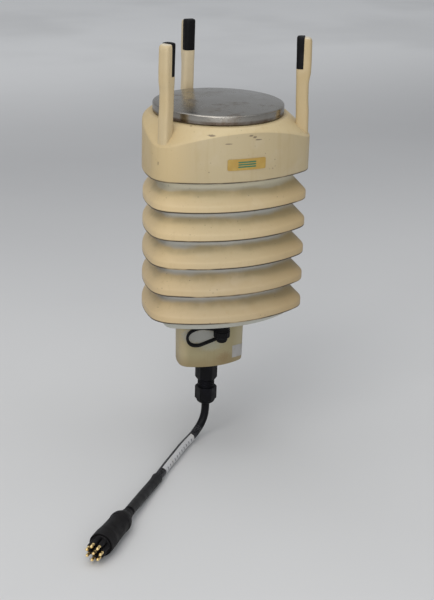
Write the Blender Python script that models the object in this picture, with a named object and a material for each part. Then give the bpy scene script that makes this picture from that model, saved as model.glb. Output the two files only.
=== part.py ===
"""Compact all-in-one ultrasonic weather transmitter, metres, +Z up.

A rounded-triangle sensor head for the top of a mast. Three upright arms carry the ultrasonic wind
transducers, a domed steel disc between them feels rain, and a stack of five louvre plates shades the
pressure, temperature and humidity module. Below hang the mast collar, the service port with its tethered
cap, and a cable gland with a short lead that ends in a moulded eight-pin connector.

The origin is on the sensor's axis, level with the end of the mast collar. -Y is the side with the name
plate, and one arm stands at +Y. The lead lies on a surface at FLOOR_Z.
"""

import math

import bmesh
import bpy
from mathutils import Matrix, Vector

GAP = 0.0003

# Rounded-triangle outlines, as (lobe radius, flat radius, corner radius), with lobes at LOBE_ANGLES degrees
LOBE_ANGLES = (90, 210, 330)
LOUVER_OUTLINE = (0.0635, 0.0514, 0.0186)
HOUSING_OUTLINE = (0.0644, 0.0523, 0.0190)
COLLAR_OUTLINE = (0.0270, 0.0214, 0.0080)
CORNER_STEPS = 5
SIDE_STEPS = 6
RING_POINTS = 3 * (CORNER_STEPS + SIDE_STEPS)

# Louvre stack
LOUVER_COUNT = 5
LOUVER_PITCH = 0.02005
LOWEST_LIP_Z = 0.0454
LOUVER_WALL = 0.0022
LIP_HEIGHT = 0.0042
NECK_DEPTH = 0.0100
SLOPE_TOP = 0.0150
NECK_TOP = 0.0213
BOSS_START = 0.0040

# Tie screws run up through every layer
SCREW_CIRCLE = 0.0440
SCREW_RADIUS = 0.0020
SCREW_HOLE = 0.0023
BOSS_RADIUS = 0.0039
BOSS_TAIL = 0.0525

# Top housing and what stands on it
HOUSING_EDGE_Z = 0.1465
HOUSING_WALL = 0.0025
SEAT_Z = 0.1840
SEAT_RADIUS = 0.0488
SEAT_HOLE = 0.0400
ROOF_SLOPE = 0.86
DISC_RADIUS = 0.0458
DISC_RIM_Z = 0.1856
DISC_EDGE_Z = 0.1907
DISC_DOME_Z = 0.1932
DISC_SHEET = 0.0012
ARM_TOP_Z = 0.2388
PAD_BOTTOM_Z = 0.2169
PAD_SPLIT_RADIUS = 0.0577
SPIGOT_RADIUS = 0.0030
SPIGOT_CENTRE = 0.0584
NAME_PLATE_SIZE = (0.0282, 0.0079)
NAME_PLATE_SHEET = 0.0006
NAME_PLATE_CENTRE = (-0.0006, 0.1595)

# Base housing and collar
BASE_BOTTOM_Z = 0.0375
BASE_RIM_Z = 0.0468
BASE_INSET = 0.0105
BASE_WALL = 0.0024
BASE_FLOOR = 0.0025
SCREW_HEAD_DEPTH = 0.0024
PASSAGE_RADIUS = 0.0042
COLLAR_CENTRE = (-0.0048, 0.0013)
COLLAR_TOP_Z = 0.0362
COLLAR_WALL = 0.0030
COLLAR_DRAFT = 0.0006
COLLAR_FLOOR = 0.0032
GLAND_RECESS = (0.0092, 0.0012)
GLAND_HOLE = 0.0063

# Service port, in line with the collar's centre
PORT_CENTRE = (-0.0056, -0.0300)
STRAP_HEADING = math.radians(156.44)
STRAP_WIDTH = 0.0046
STRAP_THICKNESS = 0.0016
PORT_TUBE = (0.0022, 0.0037)
PORT_TUBE_Z = (0.0289, 0.0425)
PORT_FLANGE = 0.0057
PORT_FLANGE_Z = 0.0337
CAP_ORIGIN_Z = 0.0274

# Cable gland
GLAND_CENTRE = (-0.0069, -0.0068)
GLAND_HEX = 0.0082
GLAND_TURN = 6.65
GLAND_BORE = 0.0034
GLAND_THREAD = 0.0055
GLAND_HEX_BOTTOM_Z = -0.0132
GLAND_SHOULDER_Z = -0.0140
GLAND_NUT_TOP_Z = -0.0202
GLAND_THREAD_END_Z = -0.0240
GLAND_NUT_HEX_BOTTOM_Z = -0.0301
GLAND_END_Z = -0.0336
CABLE_DIAMETER = 0.0060

# The lead's route from the gland to its connector, chosen by hand
FLOOR_Z = -0.0610
CABLE_ROUTE = (
    (-0.0069, -0.0068, -0.0339),
    (-0.0070, -0.0068, -0.0390),
    (-0.0077, -0.0071, -0.0435),
    (-0.0098, -0.0080, -0.0485),
    (-0.0137, -0.0099, -0.0530),
    (-0.0190, -0.0132, -0.0561),
    (-0.0250, -0.0182, -0.0572),
    (-0.0330, -0.0263, -0.0572),
    (-0.0430, -0.0376, -0.0572),
    (-0.0535, -0.0494, -0.0572),
    (-0.0636, -0.0612, -0.0572),
    (-0.0725, -0.0716, -0.0572),
    (-0.0812, -0.0815, -0.0568),
    (-0.0895, -0.0914, -0.0559),
    (-0.0975, -0.1011, -0.0548),
    (-0.1049, -0.1101, -0.0540),
)
CABLE_POINTS = 31
CABLE_TAIL_Z = (-0.0333, 0.0430)
LABEL_SPAN = (0.021, 0.0995)
SHRINK_SPAN = (0.1005, 0.1555)

# Moulded connector, lying on the surface in line with the end of the lead
CONNECTOR_HEADING = (-0.666, -0.746, 0.024)
CONNECTOR_LENGTH = 0.0455
PIN_RING_RADIUS = 0.0047
RING_PINS = 7
STALK_RADIUS = 0.0016
STALK_LENGTH = 0.0078
PIN_RADIUS = 0.0010
PIN_LENGTH = 0.0046

FINISHES = {
    "cream_plastic": ((0.62, 0.50, 0.31), 0.5, 0.0),
    "olive_plastic": ((0.38, 0.32, 0.19), 0.55, 0.0),
    "grey_plastic": ((0.42, 0.42, 0.38), 0.5, 0.0),
    "black_plastic": ((0.015, 0.015, 0.017), 0.45, 0.0),
    "black_rubber": ((0.02, 0.02, 0.022), 0.7, 0.0),
    "transducer_black": ((0.012, 0.012, 0.014), 0.6, 0.0),
    "rain_steel": ((0.55, 0.53, 0.50), 0.3, 1.0),
    "contact_gold": ((0.75, 0.52, 0.22), 0.3, 1.0),
    "bright_steel": ((0.60, 0.58, 0.55), 0.35, 1.0),
    "board_green": ((0.03, 0.22, 0.10), 0.5, 0.0),
    "name_plate": ((0.55, 0.42, 0.16), 0.4, 0.0),
    "clear_sleeve": ((0.72, 0.72, 0.70), 0.5, 0.0),
    "white_membrane": ((0.85, 0.85, 0.83), 0.6, 0.0),
}


def clear_scene():
    for obj in list(bpy.data.objects):
        bpy.data.objects.remove(obj, do_unlink=True)


def material(slot):
    found = bpy.data.materials.get(slot)
    if found:
        return found
    colour, roughness, metallic = FINISHES[slot]
    made = bpy.data.materials.new(slot)
    made.use_nodes = True
    shader = made.node_tree.nodes["Principled BSDF"]
    shader.inputs["Base Color"].default_value = (*colour, 1.0)
    shader.inputs["Roughness"].default_value = roughness
    shader.inputs["Metallic"].default_value = metallic
    return made


# ---------------------------------------------------------------- outlines and profiles


def side_arc_setback(outline):
    """How far behind the axis each side arc has its centre, so that it runs smoothly into the corner arcs."""
    lobe, flat, corner = outline
    reach = lobe - corner
    return (reach**2 - (flat - corner) ** 2) / (2 * (flat - corner) - reach)


def trilobe(outline, inset=0.0, turn=0.0):
    """One ring of (x, y) points: three corner arcs joined by three shallow side arcs, pulled in by inset."""
    back = side_arc_setback(outline)
    lobe, flat, corner = (value - inset for value in outline)
    reach = lobe - corner
    side = flat + back
    points = []
    for lobe_angle in LOBE_ANGLES:
        middle = math.radians(lobe_angle + turn)
        centre = Vector((math.cos(middle), math.sin(middle))) * reach
        after = middle + math.radians(60)
        side_centre = Vector((math.cos(after), math.sin(after))) * -back
        joint = centre - side_centre
        half_corner = (math.atan2(joint.y, joint.x) - middle) % (2 * math.pi)
        for step in range(CORNER_STEPS):
            angle = middle - half_corner + 2 * half_corner * step / CORNER_STEPS
            points.append(centre + Vector((math.cos(angle), math.sin(angle))) * corner)
        half_side = math.radians(60) - half_corner
        for step in range(SIDE_STEPS):
            angle = after - half_side + 2 * half_side * step / SIDE_STEPS
            points.append(side_centre + Vector((math.cos(angle), math.sin(angle))) * side)
    return points


def flat_ring(points, z):
    return [Vector((p.x, p.y, z)) for p in points]


def circle(radius, z, count, centre=(0.0, 0.0)):
    angles = [2 * math.pi * step / count for step in range(count)]
    return [Vector((centre[0] + radius * math.cos(a), centre[1] + radius * math.sin(a), z)) for a in angles]


def polar(radius, degrees, z=0.0):
    return Vector((radius * math.cos(math.radians(degrees)), radius * math.sin(math.radians(degrees)), z))


def roof_z(radius):
    """Height of the housing's conical roof at that distance from the axis."""
    return SEAT_Z - ROOF_SLOPE * (radius - SEAT_RADIUS)


def smooth_route(points, count):
    """Evenly spaced points along one smooth curve through the route's own points."""
    padded = [2 * points[0] - points[1], *points, 2 * points[-1] - points[-2]]
    dense = []
    for i in range(1, len(padded) - 2):
        a, b, c, d = padded[i - 1 : i + 3]
        for step in range(16):
            t = step / 16
            bend = (2 * a - 5 * b + 4 * c - d) * t**2
            twist = (3 * b - a - 3 * c + d) * t**3
            dense.append(0.5 * (2 * b + (c - a) * t + bend + twist))
    dense.append(points[-1])
    lengths = [0.0]
    for before, after in zip(dense, dense[1:]):
        lengths.append(lengths[-1] + (after - before).length)
    even = []
    at = 0
    for step in range(count):
        wanted = lengths[-1] * step / (count - 1)
        while at < len(dense) - 2 and lengths[at + 1] < wanted:
            at += 1
        share = (wanted - lengths[at]) / max(lengths[at + 1] - lengths[at], 1e-9)
        even.append(dense[at].lerp(dense[at + 1], min(max(share, 0.0), 1.0)))
    return even, lengths[-1]


# ---------------------------------------------------------------- meshes and objects


def loft_mesh(name, rings, ring_shaped=False):
    """A closed mesh over rings of equal point count. ring_shaped joins the last ring to the first."""
    bm = bmesh.new()
    rows = [[bm.verts.new(point) for point in ring] for ring in rings]
    count = len(rows[0])
    pairs = list(zip(rows, rows[1:]))
    if ring_shaped:
        pairs.append((rows[-1], rows[0]))
    for low, high in pairs:
        for i in range(count):
            j = (i + 1) % count
            bm.faces.new((low[i], low[j], high[j], high[i]))
    if not ring_shaped:
        bm.faces.new(rows[0])
        bm.faces.new(rows[-1])
    bmesh.ops.recalc_face_normals(bm, faces=bm.faces)
    mesh = bpy.data.meshes.new(name)
    bm.to_mesh(mesh)
    bm.free()
    return mesh


def box_mesh(name, low, high):
    corners = [(low[0], low[1]), (high[0], low[1]), (high[0], high[1]), (low[0], high[1])]
    rings = [[Vector((x, y, z)) for x, y in corners] for z in (low[2], high[2])]
    return loft_mesh(name, rings)


def add(name, mesh, slot, origin=(0.0, 0.0, 0.0), smooth_angle=35):
    """Puts a mesh made in world coordinates into the scene as one node, with its own origin and material."""
    mesh.transform(Matrix.Translation(-Vector(origin)))
    mesh.materials.clear()
    mesh.materials.append(material(slot))
    mesh.shade_smooth()
    mesh.set_sharp_from_angle(angle=math.radians(smooth_angle))
    obj = bpy.data.objects.new(name, mesh)
    obj.location = origin
    bpy.context.scene.collection.objects.link(obj)
    return obj


def cutter(name, mesh):
    obj = bpy.data.objects.new(name, mesh)
    obj.hide_render = True
    obj.display_type = "WIRE"
    bpy.context.scene.collection.objects.link(obj)
    return obj


def boolean(obj, other, operation):
    modifier = obj.modifiers.new(f"{operation.lower()}_{other.name}", "BOOLEAN")
    modifier.operation = operation
    modifier.object = other
    return modifier


def turned(name, profile, segments, centre=(0.0, 0.0), ring_shaped=False):
    """A solid of revolution about a vertical line through centre. profile lists (radius, z)."""
    rings = [circle(radius, z, segments, centre) for radius, z in profile]
    return loft_mesh(name, rings, ring_shaped)


def turned_along(name, profile, segments, start, heading, ring_shaped=False):
    """A solid of revolution about a slanted line. profile lists (radius, distance along heading)."""
    turn = Vector((0, 0, 1)).rotation_difference(Vector(heading).normalized()).to_matrix().to_4x4()
    place = Matrix.Translation(Vector(start)) @ turn
    rings = [[place @ p for p in circle(radius, along, segments)] for radius, along in profile]
    return loft_mesh(name, rings, ring_shaped)


def joined(name, meshes):
    """Several closed meshes that don't touch, as one mesh for a cutter."""
    bm = bmesh.new()
    for mesh in meshes:
        bm.from_mesh(mesh)
    out = bpy.data.meshes.new(name)
    bm.to_mesh(out)
    bm.free()
    return out


def screw_holes(name, bottom, top, radius=SCREW_HOLE):
    """A cutter with one upright cylinder at each tie screw."""
    parts = []
    for angle in LOBE_ANGLES:
        at = polar(SCREW_CIRCLE, angle)
        parts.append(turned(name, [(radius, bottom), (radius, top)], 10, (at.x, at.y)))
    return cutter(name, joined(name, parts))


def boss_prisms(name, bottom, top, tail=BOSS_TAIL):
    """Round screw bosses with a tail that reaches out to the wall behind them."""
    parts = []
    for angle in LOBE_ANGLES:
        centre = Vector((SCREW_CIRCLE, 0, 0))
        outline = [centre + polar(BOSS_RADIUS, 45 + 270 * step / 8) for step in range(9)]
        outline += [Vector((tail, -0.0016, 0)), Vector((tail, 0.0016, 0))]
        turn = Matrix.Rotation(math.radians(angle), 4, "Z")
        rings = [[turn @ (p + Vector((0, 0, z))) for p in outline] for z in (bottom, top)]
        parts.append(loft_mesh(name, rings))
    return cutter(name, joined(name, parts))


# ---------------------------------------------------------------- louvre stack


def louver_mesh():
    """One plate with its lip's lower edge at z 0: a thin skirt, a sloped shoulder and an upright neck."""
    wall = LOUVER_WALL
    profile = [
        (0.0, 0.0),
        (0.0, LIP_HEIGHT),
        (0.0006, LIP_HEIGHT + 0.0011),
        (NECK_DEPTH, SLOPE_TOP),
        (NECK_DEPTH, NECK_TOP),
        (NECK_DEPTH + wall, NECK_TOP),
        (NECK_DEPTH + wall, SLOPE_TOP - 0.0001),
        (wall + 0.0004, LIP_HEIGHT),
        (wall, 0.0),
    ]
    rings = [flat_ring(trilobe(LOUVER_OUTLINE, inset), z) for inset, z in profile]
    return loft_mesh("louver", rings, ring_shaped=True)


def build_louvers():
    first = add("louver_1", louver_mesh(), "cream_plastic")
    boss_top = BOSS_START + LOUVER_PITCH - GAP
    bosses = boss_prisms("louver_bosses", BOSS_START, boss_top)
    holes = screw_holes("louver_screw_holes", -0.002, boss_top + 0.002)
    boolean(first, bosses, "UNION")
    boolean(first, holes, "DIFFERENCE")
    graph = bpy.context.evaluated_depsgraph_get()
    finished = bpy.data.meshes.new_from_object(first.evaluated_get(graph))
    first.modifiers.clear()
    for helper in (bosses, holes):
        bpy.data.objects.remove(helper, do_unlink=True)
    first.data = finished
    first.location.z = LOWEST_LIP_Z
    for number in range(2, LOUVER_COUNT + 1):
        plate = bpy.data.objects.new(f"louver_{number}", finished)
        plate.location.z = LOWEST_LIP_Z + (number - 1) * LOUVER_PITCH
        bpy.context.scene.collection.objects.link(plate)


# ---------------------------------------------------------------- top housing


def housing_ring(inset, drop):
    """A ring on the conical roof, inset from the outline and lowered by drop."""
    points = trilobe(HOUSING_OUTLINE, inset)
    return [Vector((p.x, p.y, roof_z(p.length) - drop)) for p in points]


def seat_ring(radius, z):
    """A circle whose points lie at the outline's own angles, so that the roof's faces are straight."""
    return [Vector((*(p.normalized() * radius), z)) for p in trilobe(HOUSING_OUTLINE)]


def build_top_housing():
    wall = HOUSING_WALL
    rings = [
        flat_ring(trilobe(HOUSING_OUTLINE), HOUSING_EDGE_Z),
        housing_ring(0.0, 0.0020),
        housing_ring(0.0006, 0.0005),
        housing_ring(0.0020, 0.0),
        seat_ring(SEAT_RADIUS, SEAT_Z),
        seat_ring(SEAT_HOLE, SEAT_Z),
        seat_ring(SEAT_HOLE, SEAT_Z - wall),
        seat_ring(SEAT_RADIUS - 0.0012, SEAT_Z - wall),
        housing_ring(wall + 0.0004, 0.0036),
        flat_ring(trilobe(HOUSING_OUTLINE, wall), HOUSING_EDGE_Z),
    ]
    housing = add("top_housing", loft_mesh("top_housing", rings, ring_shaped=True), "cream_plastic")
    bottom = top_plate_z()[1] + GAP
    boolean(housing, boss_prisms("housing_bosses", bottom, SEAT_Z - 0.0012, SCREW_CIRCLE + 0.0044), "UNION")
    boolean(housing, screw_holes("housing_screw_holes", bottom - 0.002, 0.1735), "DIFFERENCE")
    spigots = []
    for angle in LOBE_ANGLES:
        at = polar(SPIGOT_CENTRE, angle)
        profile = [(SPIGOT_RADIUS + GAP, 0.160), (SPIGOT_RADIUS + GAP, 0.190)]
        spigots.append(turned("spigot_hole", profile, 12, (at.x, at.y)))
    boolean(housing, cutter("spigot_holes", joined("spigot_holes", spigots)), "DIFFERENCE")


def build_rain_sensor():
    sheet = DISC_SHEET
    half_way = DISC_RADIUS * 0.55
    disc = [
        (0.0060, DISC_DOME_Z - sheet),
        (half_way, DISC_DOME_Z - 0.0007 - sheet),
        (DISC_RADIUS - sheet, DISC_EDGE_Z - sheet),
        (DISC_RADIUS - sheet, DISC_RIM_Z),
        (DISC_RADIUS, DISC_RIM_Z),
        (DISC_RADIUS, DISC_EDGE_Z - 0.0006),
        (DISC_RADIUS - 0.0008, DISC_EDGE_Z + 0.0002),
        (DISC_RADIUS - 0.0060, DISC_EDGE_Z + 0.0007),
        (half_way, DISC_DOME_Z - 0.0007),
        (0.0060, DISC_DOME_Z),
    ]
    add("rain_disc", turned("rain_disc", disc, RING_POINTS), "rain_steel")
    gasket = [(0.0425, 0.1843), (0.0454, 0.1843), (0.0454, 0.1853), (0.0425, 0.1853)]
    add("disc_gasket", turned("disc_gasket", gasket, RING_POINTS, ring_shaped=True), "black_rubber")
    carrier = [
        (0.0040, SEAT_Z - 0.0040),
        (SEAT_HOLE - 0.0010, SEAT_Z - 0.0040),
        (SEAT_HOLE - 0.0010, SEAT_Z + GAP),
        (0.0420, SEAT_Z + GAP),
        (0.0420, 0.1853),
        (0.0040, 0.1853),
    ]
    add("rain_sensor_carrier", turned("rain_sensor_carrier", carrier, 24, ring_shaped=True), "grey_plastic")
    foam = [(0.0140, 0.1856), (0.0140, 0.1880)]
    add("piezo_foam_pad", turned("piezo_foam_pad", foam, 16), "black_rubber")
    piezo = [(0.0130, 0.1883), (0.0130, 0.1893)]
    add("rain_piezo", turned("rain_piezo", piezo, 16), "bright_steel")


def arm_section(inner, outer, half_width, z, keep=None, count=16):
    """A soft-cornered rectangle across an arm. keep is (side, radius), and points past it move back to it."""
    middle = (inner + outer) / 2
    half = (outer - inner) / 2
    ring = []
    for step in range(count):
        angle = 2 * math.pi * (step + 0.5) / count
        c, s = math.cos(angle), math.sin(angle)
        x = middle + half * math.copysign(abs(c) ** 0.6, c)
        y = half_width * math.copysign(abs(s) ** 0.6, s)
        if keep and keep[0] == "outer":
            x = max(x, keep[1])
        if keep and keep[0] == "inner":
            x = min(x, keep[1])
        ring.append(Vector((x, y, z)))
    return ring


def build_arms():
    """Each arm's cross-section runs from its inner to its outer radius, and leans in a little as it rises."""
    split = PAD_SPLIT_RADIUS
    for label, angle in (("back", 90), ("left", 210), ("right", 330)):
        turn = Matrix.Rotation(math.radians(angle), 4, "Z")
        centre = Vector((SPIGOT_CENTRE, 0, 0))
        spigot = [centre + polar(SPIGOT_RADIUS, 22.5 * (step + 0.5)) for step in range(16)]
        foot = arm_section(0.0543, 0.0624, 0.0038, 0.0)
        rings = [
            flat_ring(spigot, 0.1660),
            [Vector((p.x, p.y, roof_z(p.length) + 0.0005)) for p in spigot],
            [Vector((p.x, p.y, roof_z(p.length) + 0.0005)) for p in foot],
            arm_section(0.0540, 0.0628, 0.0041, 0.1845),
            arm_section(0.0534, 0.0618, 0.0041, 0.2050),
            arm_section(0.0531, 0.0630, 0.0043, 0.2150),
            arm_section(0.0530, 0.0631, 0.0043, PAD_BOTTOM_Z - GAP),
            arm_section(0.0530, 0.0631, 0.0043, PAD_BOTTOM_Z - GAP, ("outer", split + GAP)),
            arm_section(0.0524, 0.0628, 0.0043, ARM_TOP_Z - 0.0022, ("outer", split + GAP)),
            arm_section(0.0530, 0.0619, 0.0037, ARM_TOP_Z - 0.0008, ("outer", split + GAP)),
        ]
        rings = [[turn @ p for p in ring] for ring in rings]
        name = f"arm_{label}"
        add(name, loft_mesh(name, rings), "cream_plastic", polar(SPIGOT_CENTRE, angle, 0.18))
        pad = [
            arm_section(0.0530, 0.0631, 0.0043, PAD_BOTTOM_Z, ("inner", split)),
            arm_section(0.0524, 0.0628, 0.0043, ARM_TOP_Z - 0.0015, ("inner", split)),
            arm_section(0.0531, 0.0622, 0.0037, ARM_TOP_Z, ("inner", split)),
        ]
        pad = [[turn @ p for p in ring] for ring in pad]
        name = f"transducer_{label}"
        add(name, loft_mesh(name, pad), "transducer_black", polar(SPIGOT_CENTRE, angle, PAD_BOTTOM_Z))


def build_name_plate():
    """A thin plate bent to the housing's front wall."""
    width, height = NAME_PLATE_SIZE
    centre_x, centre_z = NAME_PLATE_CENTRE
    back = side_arc_setback(HOUSING_OUTLINE)
    front = HOUSING_OUTLINE[1] + back
    rings = []
    for step in range(7):
        x = centre_x + width * (step / 6 - 0.5)
        ring = []
        for off, side in ((GAP, -1), (GAP, 1), (GAP + NAME_PLATE_SHEET, 1), (GAP + NAME_PLATE_SHEET, -1)):
            y = back - math.sqrt((front + off) ** 2 - x**2)
            ring.append(Vector((x, y, centre_z + side * height / 2)))
        rings.append(ring)
    add("name_plate", loft_mesh("name_plate", rings), "name_plate")


# ---------------------------------------------------------------- inside the stack


def top_plate_z():
    """Lower and upper face of the plate that closes the top housing, on the highest louvre's bosses."""
    low = LOWEST_LIP_Z + (LOUVER_COUNT - 1) * LOUVER_PITCH + BOSS_START + LOUVER_PITCH
    return low, low + 0.0025


def build_electronics():
    low, high = top_plate_z()
    rings = [flat_ring(trilobe(HOUSING_OUTLINE, HOUSING_WALL + 0.0005), z) for z in (low, high)]
    plate = add("top_plate", loft_mesh("top_plate", rings), "grey_plastic")
    boolean(plate, screw_holes("top_plate_screw_holes", low - 0.002, high + 0.002), "DIFFERENCE")
    slot = box_mesh("ribbon_slot", (0.0250, -0.0070, low - 0.002), (0.0280, 0.0070, high + 0.002))
    boolean(plate, cutter("ribbon_slot", slot), "DIFFERENCE")

    board_low = high + GAP + 0.0050
    add(
        "main_board",
        turned("main_board", [(0.0340, board_low), (0.0340, board_low + 0.0016)], 20),
        "board_green",
    )
    for number, angle in enumerate((30, 150, 270), 1):
        at = polar(0.0300, angle)
        post = [(0.0025, high + GAP), (0.0025, board_low - GAP)]
        name = f"board_standoff_{number}"
        add(name, turned(name, post, 8, (at.x, at.y)), "bright_steel")
    chip_z = board_low + 0.0016 + GAP
    shield = box_mesh("board_shield", (-0.0120, -0.0100, chip_z), (0.0120, 0.0140, chip_z + 0.0040))
    add("board_shield", shield, "bright_steel")

    module_low = low - GAP - 0.0570
    module = [(0.0095, module_low), (0.0095, low - GAP)]
    add("ptu_module", turned("ptu_module", module, 16), "grey_plastic")
    cap_high = module_low - GAP
    cap = [(0.0060, cap_high - 0.0260), (0.0092, cap_high - 0.0225), (0.0092, cap_high)]
    add("ptu_filter_cap", turned("ptu_filter_cap", cap, 16), "white_membrane")

    ribbon_x = 0.0265
    bow = [(0.0, 0.0), (-0.0005, 0.25), (0.0004, 0.5), (-0.0004, 0.75), (0.0, 1.0)]
    bottom, top = 0.0425, board_low - GAP
    rings = []
    for shift, share in bow:
        x = ribbon_x + shift
        z = bottom + (top - bottom) * share
        corners = [(-0.0005, -0.0055), (0.0005, -0.0055), (0.0005, 0.0055), (-0.0005, 0.0055)]
        rings.append([Vector((x + dx, dy, z)) for dx, dy in corners])
    add("ribbon_cable", loft_mesh("ribbon_cable", rings), "grey_plastic")


def build_tie_screws():
    """Long hexagon-socket screws, sunk in the base's underside and run up into the top housing's bosses."""
    under = BASE_BOTTOM_Z + SCREW_HEAD_DEPTH - GAP
    profile = [
        (0.0016, under - 0.0012),
        (0.0016, under - 0.0019),
        (0.0031, under - 0.0019),
        (0.0033, under - 0.0017),
        (0.0033, under),
        (SCREW_RADIUS, under),
        (SCREW_RADIUS, 0.1712),
        (SCREW_RADIUS - 0.0008, 0.1722),
    ]
    for number, angle in enumerate(LOBE_ANGLES, 1):
        at = polar(SCREW_CIRCLE, angle)
        name = f"tie_screw_{number}"
        add(name, turned(name, profile, 12, (at.x, at.y)), "bright_steel", (at.x, at.y, under))


# ---------------------------------------------------------------- base housing, collar and port


def build_base():
    inset = BASE_INSET
    wall = BASE_WALL
    floor_top = BASE_BOTTOM_Z + BASE_FLOOR
    profile = [
        (inset + 0.0018, BASE_BOTTOM_Z),
        (inset, BASE_BOTTOM_Z + 0.0024),
        (inset, BASE_RIM_Z),
        (inset + wall, BASE_RIM_Z),
        (inset + wall, floor_top),
    ]
    rings = [flat_ring(trilobe(LOUVER_OUTLINE, step), z) for step, z in profile]
    base = add("base_housing", loft_mesh("base_housing", rings), "grey_plastic")
    bosses = boss_prisms("base_bosses", BASE_BOTTOM_Z + 0.0010, BASE_RIM_Z, SCREW_CIRCLE + 0.0075)
    boolean(base, bosses, "UNION")
    boolean(base, screw_holes("base_screw_holes", BASE_BOTTOM_Z - 0.002, BASE_RIM_Z + 0.002), "DIFFERENCE")
    sink_top = BASE_BOTTOM_Z + SCREW_HEAD_DEPTH
    boolean(base, screw_holes("screw_sinks", BASE_BOTTOM_Z - 0.002, sink_top, 0.0036), "DIFFERENCE")
    through = [(PASSAGE_RADIUS, BASE_BOTTOM_Z - 0.002), (PASSAGE_RADIUS, floor_top + 0.002)]
    passages = joined(
        "base_passages",
        [
            turned("cable_passage", through, 12, GLAND_CENTRE),
            turned("port_passage", through, 12, PORT_CENTRE),
        ],
    )
    boolean(base, cutter("base_passages", passages), "DIFFERENCE")

    low = BASE_RIM_Z + GAP
    high = low + 0.0020
    rings = [flat_ring(trilobe(LOUVER_OUTLINE, inset), z) for z in (low, high)]
    cover = add("base_cover", loft_mesh("base_cover", rings), "grey_plastic")
    boolean(cover, screw_holes("cover_screw_holes", low - 0.002, high + 0.002), "DIFFERENCE")
    slot = box_mesh("cover_slot", (0.0250, -0.0070, low - 0.002), (0.0280, 0.0070, high + 0.002))
    boolean(cover, cutter("cover_slot", slot), "DIFFERENCE")

    board_low = floor_top + GAP
    board = box_mesh("terminal_board", (0.0020, -0.0150, board_low), (0.0285, 0.0150, board_low + 0.0016))
    add("terminal_board", board, "board_green")
    block_low = board_low + 0.0016 + GAP
    block = box_mesh("terminal_block", (0.0040, -0.0140, block_low), (0.0130, 0.0140, block_low + 0.0042))
    add("terminal_block", block, "grey_plastic")


def build_collar():
    """The plug that a mast-top adapter grips: a cup with slight draft, closed below by the gland's wall."""
    x, y = COLLAR_CENTRE

    def ring(inset, z, flare=0.0):
        return [Vector((p.x + x, p.y + y, z)) for p in trilobe(COLLAR_OUTLINE, inset - flare)]

    rings = [
        ring(0.0013, 0.0),
        ring(0.0, 0.0014),
        ring(0.0, COLLAR_TOP_Z, COLLAR_DRAFT),
        ring(COLLAR_WALL, COLLAR_TOP_Z, COLLAR_DRAFT),
        ring(COLLAR_WALL, COLLAR_FLOOR),
    ]
    collar = add("mast_collar", loft_mesh("mast_collar", rings), "olive_plastic")
    recess, depth = GLAND_RECESS
    steps = [(recess, -0.002), (recess, depth), (GLAND_HOLE, depth), (GLAND_HOLE, COLLAR_FLOOR + 0.002)]
    boolean(collar, cutter("gland_hole", turned("gland_hole", steps, 20, GLAND_CENTRE)), "DIFFERENCE")
    low, high = COLLAR_TOP_Z + GAP, BASE_BOTTOM_Z - GAP
    seal = [
        ring(0.0004, low, COLLAR_DRAFT),
        ring(0.0004, high, COLLAR_DRAFT),
        ring(COLLAR_WALL, high, COLLAR_DRAFT),
        ring(COLLAR_WALL, low, COLLAR_DRAFT),
    ]
    add("collar_gasket", loft_mesh("collar_gasket", seal, ring_shaped=True), "black_rubber")


def build_service_port():
    bore, tube = PORT_TUBE
    bottom, top = PORT_TUBE_Z
    flange_top = BASE_BOTTOM_Z - GAP
    port = [
        (bore, top),
        (tube, top),
        (tube, flange_top),
        (PORT_FLANGE, flange_top),
        (PORT_FLANGE, PORT_FLANGE_Z),
        (tube, PORT_FLANGE_Z),
        (tube, bottom),
        (bore, bottom),
    ]
    add("service_port", turned("service_port", port, 16, PORT_CENTRE, ring_shaped=True), "black_plastic")
    cap = [
        (0.0041, 0.0284),
        (0.0041, 0.0320),
        (0.0057, 0.0320),
        (0.0059, 0.0317),
        (0.0059, CAP_ORIGIN_Z + 0.0003),
        (0.0056, CAP_ORIGIN_Z),
        (0.0028, CAP_ORIGIN_Z),
        (0.0028, 0.0244),
        (0.0036, 0.0244),
        (0.0024, 0.0232),
    ]
    origin = (*PORT_CENTRE, CAP_ORIGIN_Z)
    add("service_cap", turned("service_cap", cap, 16, PORT_CENTRE), "black_plastic", origin)
    swivel = [(0.0031, 0.0247), (0.0042, 0.0247), (0.0042, 0.0271), (0.0031, 0.0271)]
    swivel_mesh = turned("strap_swivel", swivel, 16, PORT_CENTRE, ring_shaped=True)
    add("strap_swivel", swivel_mesh, "black_rubber", origin)


def strap_route():
    """Centre line of the flat tether, as (distance out from the port, height), bent into an open loop."""
    return [
        (0.0047, 0.0328),
        (0.0090, 0.0332),
        (0.0135, 0.0334),
        (0.0175, 0.0326),
        (0.0208, 0.0310),
        (0.0230, 0.0291),
        (0.0243, 0.0266),
        (0.0243, 0.0240),
        (0.0233, 0.0218),
        (0.0214, 0.0203),
        (0.0187, 0.0198),
        (0.0155, 0.0202),
        (0.0122, 0.0216),
        (0.0090, 0.0231),
        (0.0046, 0.0252),
    ]


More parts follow.
